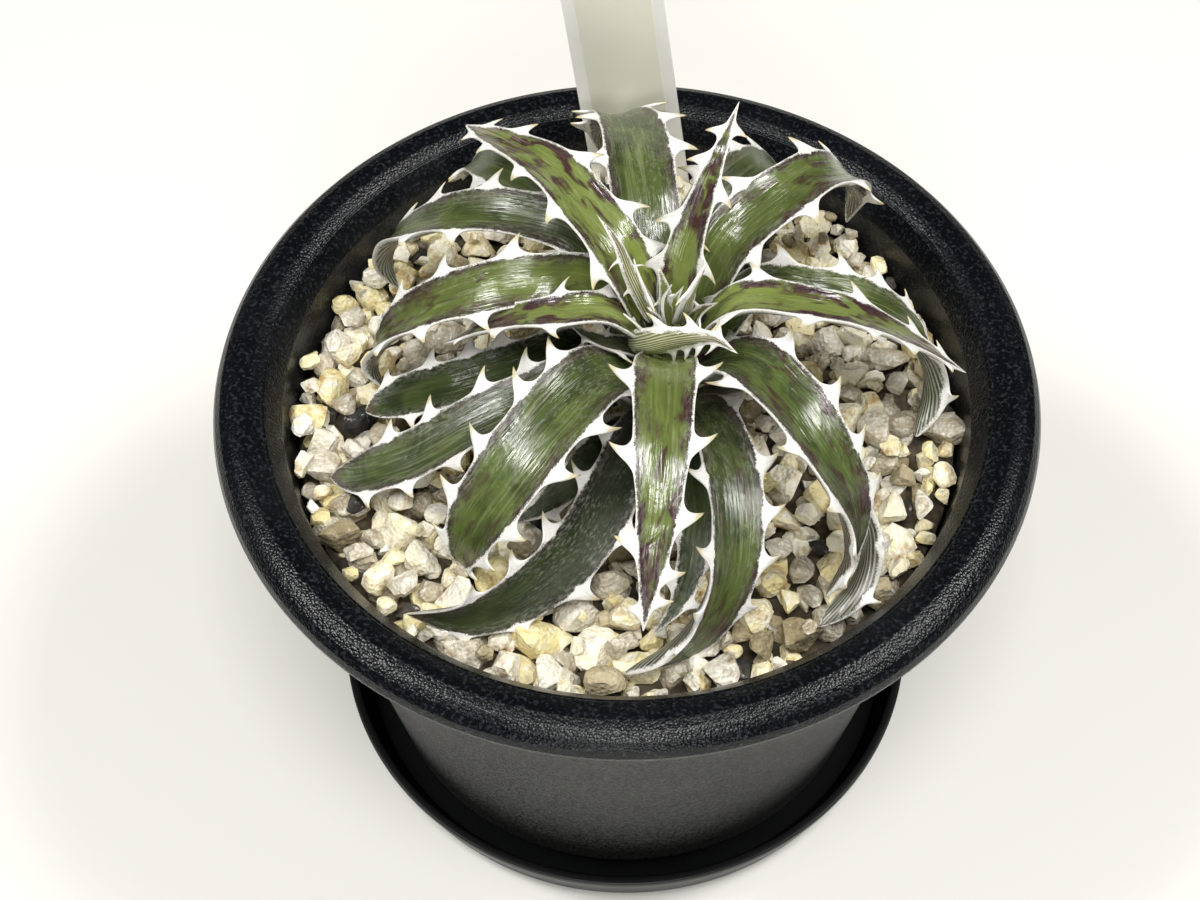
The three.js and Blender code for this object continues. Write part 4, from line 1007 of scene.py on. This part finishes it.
# Small young leaves packed in the heart, between the larger ones.
YOUNG = [
    dict(name="heart_fold_1", width=3.4, taper=1.6, roll=(0, 0), age=0, blush=0.3, pale=0.4,
         left=[0.5], right=[0.62],
         midrib=[(3.4, -1.5, 93), (1.8, -2.2, 99), (-0.5, -2.2, 102)]),
    dict(name="heart_fold_2", width=3.0, taper=1.6, roll=(0, 0), age=0, blush=0.2, pale=0.4,
         left=[0.45], right=[0.6],
         midrib=[(6, 1.6, 94), (5.5, 3.0, 101), (4.4, 4.6, 105)]),
    dict(name="heart_fold_3", width=3.4, taper=1.6, roll=(0, 0), age=0, blush=0.3, pale=0.4,
         left=[0.42, 0.66], right=[0.55],
         midrib=[(8.5, -0.4, 93), (10.6, 0.4, 99), (13.2, 0.2, 101.5)]),
    dict(name="heart_fold_4", width=2.4, taper=1.6, roll=(0, 0), age=0, blush=0.1, pale=0.4,
         left=[0.55], right=[],
         midrib=[(6.2, -0.4, 96), (6.9, 0.6, 101), (8.2, 1.2, 104)]),
    dict(name="heart_fold_5", width=2.6, taper=1.6, roll=(0, 0), age=0, blush=0.1, pale=0.4,
         left=[], right=[0.6],
         midrib=[(5.2, -0.6, 96), (4.3, -1.6, 101), (3.6, -3.0, 103.5)]),
]

for number, leaf in enumerate(LEAVES + YOUNG):
    name = leaf["name"]
    kind = "heart" if name.startswith("heart") else "old" if name in AGED else "grown"
    skin, slot = SKINS[kind][:2]
    grown_leaf = piece(f"{name}_flesh", grow_leaf(leaf, number + 1.0), skin)
    rounding = grown_leaf.modifiers.new("rounding", "SUBSURF")
    rounding.levels = rounding.render_levels = 1
    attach(grown_leaf, "root")
    if leaf in LEAVES:
        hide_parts(name)


# ---- Plant label --------------------------------------------------------------------------------
# A tag cut from white sheet plastic, pushed into the grit behind the plant and leaning on the rim,
# with a strip of cream tape stuck along it.

LABEL_HALF = 8 * MM
LABEL_THICKNESS = 0.8 * MM
LABEL_FOOT = -28 * MM  # below the height of the rim
LABEL_TOP = 48 * MM
LABEL_POINT = 14 * MM
LABEL_POINT_HALF = 2 * MM
LABEL_CORNER = 2.5 * MM
LABEL_EASING = 0.12 * MM
TAPE_HALF = 6 * MM
TAPE_FOOT = 3 * MM
TAPE_TOP = 45 * MM
TAPE_THICKNESS = 0.2 * MM
TAPE_CORNER = 0.4 * MM
TAPE_EASING = 0.05 * MM
GLUE = 0.02 * MM  # the film between tape and tag
LEANING_BACK = 8  # degrees
LEANING_LEFT = 7.5
SHARP = 1.2  # edges that turn by more than this, in radians, are eased
label_place = (
    Matrix.Translation((0.8 * MM, 51.1 * MM, POT_TOP))
    @ Matrix.Rotation(math.radians(90 - LEANING_BACK), 4, "X")
    @ Matrix.Rotation(math.radians(LEANING_LEFT), 4, "Z")
)


def cut_sheet(outline, corners, radius, thickness, base, edge):
    """A flat cut sheet from its outline, with some corners rounded and its edges eased."""
    maker = bmesh.new()
    points = [maker.verts.new((x, y, base)) for x, y in outline]
    maker.faces.new(points)
    bmesh.ops.bevel(
        maker,
        geom=[points[i] for i in corners],
        affect="VERTICES",
        offset=radius,
        offset_type="OFFSET",
        segments=8,
        profile=0.5,
        material=-1,
    )
    raised = bmesh.ops.extrude_face_region(maker, geom=maker.faces[:])["geom"]
    verts = [item for item in raised if isinstance(item, bmesh.types.BMVert)]
    bmesh.ops.translate(maker, verts=verts, vec=(0, 0, thickness))
    bmesh.ops.recalc_face_normals(maker, faces=maker.faces[:])
    level = [e for e in maker.edges if abs(e.verts[0].co.z - e.verts[1].co.z) < TOUCHING]
    rims = [e for e in level if e.is_manifold and e.calc_face_angle() > SHARP]
    bmesh.ops.bevel(
        maker,
        geom=rims,
        affect="EDGES",
        offset=edge,
        segments=3,
        profile=0.5,
        material=-1,
        clamp_overlap=True,
    )
    bmesh.ops.transform(maker, matrix=label_place, verts=maker.verts[:])
    return maker


# Calendered polystyrene sheet, slightly cloudy and no longer quite flat.
two_tone(
    "sheet_polystyrene_white",
    "TexNoise",
    {"Scale": 140.0, "Detail": 6.0},
    ("#f1f1ec", "#fbfbf7"),
    {"Strength": 0.2, "Distance": 0.1 * MM},
    Roughness=0.4,
    IOR=1.55,
)
tag = piece(
    "tag_blade",
    cut_sheet(
        [
            (LABEL_POINT_HALF, LABEL_FOOT),
            (LABEL_HALF, LABEL_FOOT + LABEL_POINT),
            (LABEL_HALF, LABEL_TOP),
            (-LABEL_HALF, LABEL_TOP),
            (-LABEL_HALF, LABEL_FOOT + LABEL_POINT),
            (-LABEL_POINT_HALF, LABEL_FOOT),
        ],
        (2, 3),
        LABEL_CORNER,
        LABEL_THICKNESS,
        -LABEL_THICKNESS / 2,
        LABEL_EASING,
    ),
    "sheet_polystyrene_white",
)
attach(tag, "root")
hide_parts("plant_label")

# Laminated tape has a glossier film on it, and buckles a little where it was rubbed down.
two_tone(
    "laminated_tape_cream",
    "TexNoise",
    {"Scale": 90.0, "Detail": 4.0},
    ("#e3e4d4", "#ebebdd"),
    {"Strength": 0.3, "Distance": 0.15 * MM},
    Roughness=0.3,
    IOR=1.5,
)
tape = piece(
    "tag_tape",
    cut_sheet(
        [
            (TAPE_HALF, TAPE_FOOT),
            (TAPE_HALF, TAPE_TOP),
            (-TAPE_HALF, TAPE_TOP),
            (-TAPE_HALF, TAPE_FOOT),
        ],
        (0, 1, 2, 3),
        TAPE_CORNER,
        TAPE_THICKNESS,
        LABEL_THICKNESS / 2 + GLUE,
        TAPE_EASING,
    ),
    "laminated_tape_cream",
)
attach(tape, "root")
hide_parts("label_tape")


# ---- Grit ---------------------------------------------------------------------------------------
# Loose dry grit of 3 to 8 mm: cream pumice, greyish quartz, baked clay and a little dark lava. It
# fills the pot; only the grains on top are separate, and a fine mix lies under them, dark brown,
# partly its own colour and partly painted shade in the gaps between the grains.

BED_TOP = 72.4 * MM
BED_GAP = 0.3 * MM  # between the fine mix and the pot
BED_BOTTOM = POT_FLOOR + BED_GAP
BED_ROUNDING = 1.2 * MM
STONES = 18
SMALL_SHAPES = 24
SMALL_BREAKS = (2, 11)  # how often the ball is subdivided, and how many flats are broken off it
LARGE_BREAKS = (3, 12)
BALL = 1.12  # radius of the ball that a grain of radius 1 is broken from
FLATS = (0.50, 0.86)  # how far from its middle the flats may lie
SHARDS = 0.03  # smaller flats than this are dropped
SHARP_GRAIN = math.radians(42)  # edges that turn by more than this stay sharp
LEAF_COVER = 0.85  # share of a leaf's half width that a grain may not stand under
GRAIN_COVER = 0.7  # share of a grain's radius that counts as its body there
LEAST_SHOWN = 0.6  # share of its radius by which a grain may lie below the bed's top
LOW_LEAF = 90 * MM  # leaves above this height clear the grit
CELL = 8 * MM
MINERALS = {
    # share of the grit, roughness, index of refraction, pale, deep and stain colours
    "pumice": (0.56, 0.75, 1.5, "#fffbee", "#eddfa6", "#ad8443"),
    "quartz": (0.35, 0.22, 1.54, "#f3eee0", "#b5aa93", "#8a7553"),
    "clay": (0.06, 0.85, 1.5, "#bdb08f", "#8d8062", "#5c5240"),
    "lava": (0.03, 0.85, 1.5, "#4a4641", "#262422", "#171615"),
}
grit_draws = random.Random(11)


def grain_skin(name, rough, bend, pale, deep, stain):
    """Broken stone: each grain has its own tint, with cloudy patches, stains and pits."""
    tree, shader = surface(name, IOR=bend)
    spot = add(tree, "TexCoord").outputs["Object"]
    tint = add(tree, "Attribute", attribute_name="tint").outputs["Fac"]
    # Patches of about 2 mm, crumbs of 0.8 mm and stains that reach over several grains.
    cloud = add(tree, "TexNoise", {"Vector": spot, "Scale": 500.0, "Detail": 5.0, "Roughness": 0.7})
    crumb = add(tree, "TexVoronoi", {"Vector": spot, "Scale": 1500.0})
    blotch = add(
        tree, "TexNoise", {"Vector": spot, "Scale": 260.0, "Detail": 5.0, "Roughness": 0.65}
    )
    shade = add(tree, "Math", {0: cloud, 1: 2.4, 2: -1.2}, operation="MULTIPLY_ADD")
    shade = add(tree, "Math", {0: shade, 1: tint}, use_clamp=True)
    body = add(tree, "MixRGB", {"Fac": shade, "Color1": pale, "Color2": deep})
    stained = add(
        tree, "MapRange", {"Value": blotch, "From Min": 0.54, "From Max": 0.68, "To Max": 0.8}
    )
    body = add(tree, "MixRGB", {"Fac": stained, "Color1": body, "Color2": stain})
    glint = add(
        tree, "MapRange", {"Value": cloud, "From Min": 0.42, "From Max": 0.30, "To Max": 0.8}
    )
    body = add(tree, "MixRGB", {"Fac": glint, "Color1": body, "Color2": "#f6f4ee"})
    relief = add(tree, "Math", {0: crumb, 1: 0.9, 2: cloud}, operation="MULTIPLY_ADD")
    bump = add(tree, "Bump", {"Height": relief, "Strength": 0.7, "Distance": 0.4 * MM})
    least, most = rough * 0.8, min(1, rough * 1.5)
    shade_and_wear = {"From Min": 0.35, "From Max": 0.65, "To Min": least, "To Max": most}
    gloss = add(tree, "MapRange", {"Value": blotch, **shade_and_wear})
    dress(shader, Base_Color=body, Roughness=gloss, Normal=bump)


def broken_grain(balls, cuts):
    """The mesh of one grain: a ball with flats broken off it."""
    maker = bmesh.new()
    bmesh.ops.create_icosphere(maker, subdivisions=balls, radius=BALL)
    for _ in range(cuts):
        away = Vector([grit_draws.gauss(0, 1) for _ in range(3)]).normalized()
        bmesh.ops.bisect_plane(
            maker,
            geom=maker.verts[:] + maker.edges[:] + maker.faces[:],
            plane_co=away * grit_draws.uniform(*FLATS),
            plane_no=away,
            clear_outer=True,
        )
        bmesh.ops.holes_fill(
            maker, edges=[edge for edge in maker.edges if edge.is_boundary], sides=0
        )
    # Its corners alone make the clean solid, with worn edges.
    bmesh.ops.remove_doubles(maker, verts=maker.verts[:], dist=SHARDS)
    bmesh.ops.delete(maker, geom=maker.edges[:], context="EDGES_FACES")
    hull = bmesh.ops.convex_hull(maker, input=maker.verts[:])
    bmesh.ops.delete(maker, geom=hull["geom_interior"] + hull["geom_unused"], context="VERTS")
    bmesh.ops.smooth_vert(
        maker, verts=maker.verts[:], factor=0.3, use_axis_x=True, use_axis_y=True, use_axis_z=True
    )
    bmesh.ops.recalc_face_normals(maker, faces=maker.faces[:])
    mesh = bpy.data.meshes.new("grain_shape")
    maker.to_mesh(mesh)
    maker.free()
    return mesh


def add_grain(maker, shape, place, size, tint):
    """Copies a grain into a mineral's bmesh, turned at random and stretched to its size."""
    first = len(maker.verts)
    maker.from_mesh(shape)
    maker.verts.ensure_lookup_table()
    verts = maker.verts[first:]
    turn = grit_draws.uniform(0, 6.28)
    spin = Matrix.Rotation(turn, 4, Vector([grit_draws.gauss(0, 1) for _ in range(3)]))
    change = Matrix.Translation(place) @ Matrix.Diagonal((*size, 1)) @ spin
    bmesh.ops.transform(maker, matrix=change, verts=verts)
    layer = maker.verts.layers.float["tint"]
    for vert in verts:
        vert[layer] = tint


for mineral, (_, *looks) in MINERALS.items():
    grain_skin(f"{mineral}_grain", *looks)
small_shapes = [broken_grain(*SMALL_BREAKS) for _ in range(SMALL_SHAPES)]
large_shapes = [broken_grain(*LARGE_BREAKS) for _ in range(STONES)]

# Where the leaves pass, so that no grain stands in one: place, half width and thickness.
leaf_spots = []
for leaf in LEAVES:
    for pose, share in blade_poses(leaf)[0][::2]:
        if pose.translation.z < LOW_LEAF:
            half = half_width(leaf, share)
            depth = min(2 * half * BLADE_DEPTH, BLADE_MOST_DEPTH)
            leaf_spots.append((pose.translation, half, depth))

tag_foot = label_place.translation
tag_side, _, tag_face = (label_place.col[i].xyz for i in range(3))
taken = {}


def cell(x, y):
    """The square of the grit's plan that a place is in."""
    return (math.floor(x / CELL), math.floor(y / CELL))


def near_grains(x, y, layer):
    """The grains already laid in the squares around a place."""
    column, row = cell(x, y)
    for i in (column - 1, column, column + 1):
        for j in (row - 1, row, row + 1):
            yield from taken.get((layer, i, j), [])


def settle(x, y, z, radius):
    """The height at which a grain clears the leaves over it, or None where there is no room."""
    for spot, half, depth in leaf_spots:
        away = (spot.x - x) ** 2 + (spot.y - y) ** 2
        if away < (half * LEAF_COVER + radius * GRAIN_COVER) ** 2:
            under = spot.z - depth
            if under < z + radius:
                z = under - radius
    before = (Vector((x, y, z)) - tag_foot).dot(tag_face)
    beside = abs((Vector((x, y, z)) - tag_foot).dot(tag_side))
    if abs(before) < radius and beside < LABEL_HALF + radius * GRAIN_COVER:
        return None
    return z if z > BED_TOP - radius * LEAST_SHOWN else None


# The larger loose grains stand where their solids do, each made to fill its solid's box.
STONE_KINDS = """quartz quartz pumice pumice clay pumice pumice quartz pumice lava pumice clay
pumice quartz quartz quartz quartz pumice""".split()
for number, kind in enumerate(STONE_KINDS, 1):
    node = f"stone_{number:02d}"
    low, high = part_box(node)
    maker = bmesh.new()
    maker.verts.layers.float.new("tint")
    size = (high - low) / 2
    add_grain(maker, large_shapes[number - 1], (0, 0, 0), (1, 1, 1), grit_draws.random())
    reach = [max(abs(vert.co[axis]) for vert in maker.verts) for axis in range(3)]
    fit = Matrix.Diagonal((size.x / reach[0], size.y / reach[1], size.z / reach[2], 1))
    middle = (low + high) / 2
    bmesh.ops.transform(maker, matrix=Matrix.Translation(middle) @ fit, verts=maker.verts[:])
    stone = piece(f"loose_{node}", maker, f"{kind}_grain")
    stone.data.set_sharp_from_angle(angle=SHARP_GRAIN)
    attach(stone, "root")
    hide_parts(node)
    held = (middle.x, middle.y, max(size.x, size.y))
    for layer in ("upper", "rider"):
        taken.setdefault((layer, *cell(middle.x, middle.y)), []).append(held)

mineral_makers = {name: bmesh.new() for name in MINERALS}
for maker in mineral_makers.values():
    maker.verts.layers.float.new("tint")

LAYERS = [
    # name, mean height, spread of height, tries, least and most radius, how close grains may come
    ("lower", 72.6 * MM, 0.5 * MM, 5000, 1.4 * MM, 2.5 * MM, 0.80),
    ("upper", 74.7 * MM, 0.8 * MM, 9000, 1.4 * MM, 3.1 * MM, 0.84),
    ("rider", 76.6 * MM, 0.4 * MM, 300, 1.2 * MM, 2.1 * MM, 1.3),
]
shares = [facts[0] for facts in MINERALS.values()]
for layer, mean, spread, tries, least, most, closeness in LAYERS:
    for attempt in range(tries):
        # Large grains go down first, while there is room for them.
        radius = least + (most - least) * (1 - attempt / tries) ** 2.2
        reach = wall_inside(mean) - radius * 0.95
        bearing, out = grit_draws.uniform(0, 2 * math.pi), reach * math.sqrt(grit_draws.random())
        x, y = out * math.cos(bearing), out * math.sin(bearing)
        near = near_grains(x, y, layer)
        if any(math.hypot(x - a, y - b) < closeness * (radius + r) for a, b, r in near):
            continue
        z = settle(x, y, mean + grit_draws.uniform(-spread, spread), radius)
        if z is None:
            continue
        taken.setdefault((layer, *cell(x, y)), []).append((x, y, radius))
        kind = grit_draws.choices(list(MINERALS), shares)[0]
        size = [radius * grit_draws.uniform(0.85, 1.35) for _ in range(2)]
        size.append(radius * grit_draws.uniform(0.8, 1.1))
        add_grain(
            mineral_makers[kind],
            grit_draws.choice(small_shapes),
            (x, y, z),
            size,
            grit_draws.random(),
        )
for kind, maker in mineral_makers.items():
    grains = piece(f"{kind}_grains", maker, f"{kind}_grain")
    grains.data.set_sharp_from_angle(angle=SHARP_GRAIN)
    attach(grains, "root")

# The fine mix under the grains: crumbs of 1.4 mm, dull dark brown, partly their own colour and
# partly painted shade in the gaps between the grains.
bed_tree, bed_shader = surface("fine_mix_and_gap_shade", Roughness=0.95, IOR=1.5)
bed_spot = add(bed_tree, "TexCoord").outputs["Object"]
bed_crumb = add(bed_tree, "TexVoronoi", {"Vector": bed_spot, "Scale": 700.0})
bed_colour = add(bed_tree, "MixRGB", {"Fac": bed_crumb, "Color1": "#5d5240", "Color2": "#2f2a22"})
bed_bump = add(bed_tree, "Bump", {"Height": bed_crumb, "Distance": 0.6 * MM}, invert=True)
dress(bed_shader, Base_Color=bed_colour, Normal=bed_bump)
bed_maker = turned(
    [
        (0, BED_BOTTOM),
        (wall_inside(BED_BOTTOM) - BED_GAP, BED_BOTTOM),
        (wall_inside(BED_TOP) - BED_GAP, BED_TOP),
        (0, BED_TOP),
    ],
    BED_ROUNDING,
)
bed = piece("fine_grit_bed", bed_maker, "fine_mix_and_gap_shade")
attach(bed, "root")
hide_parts("gravel_bed")
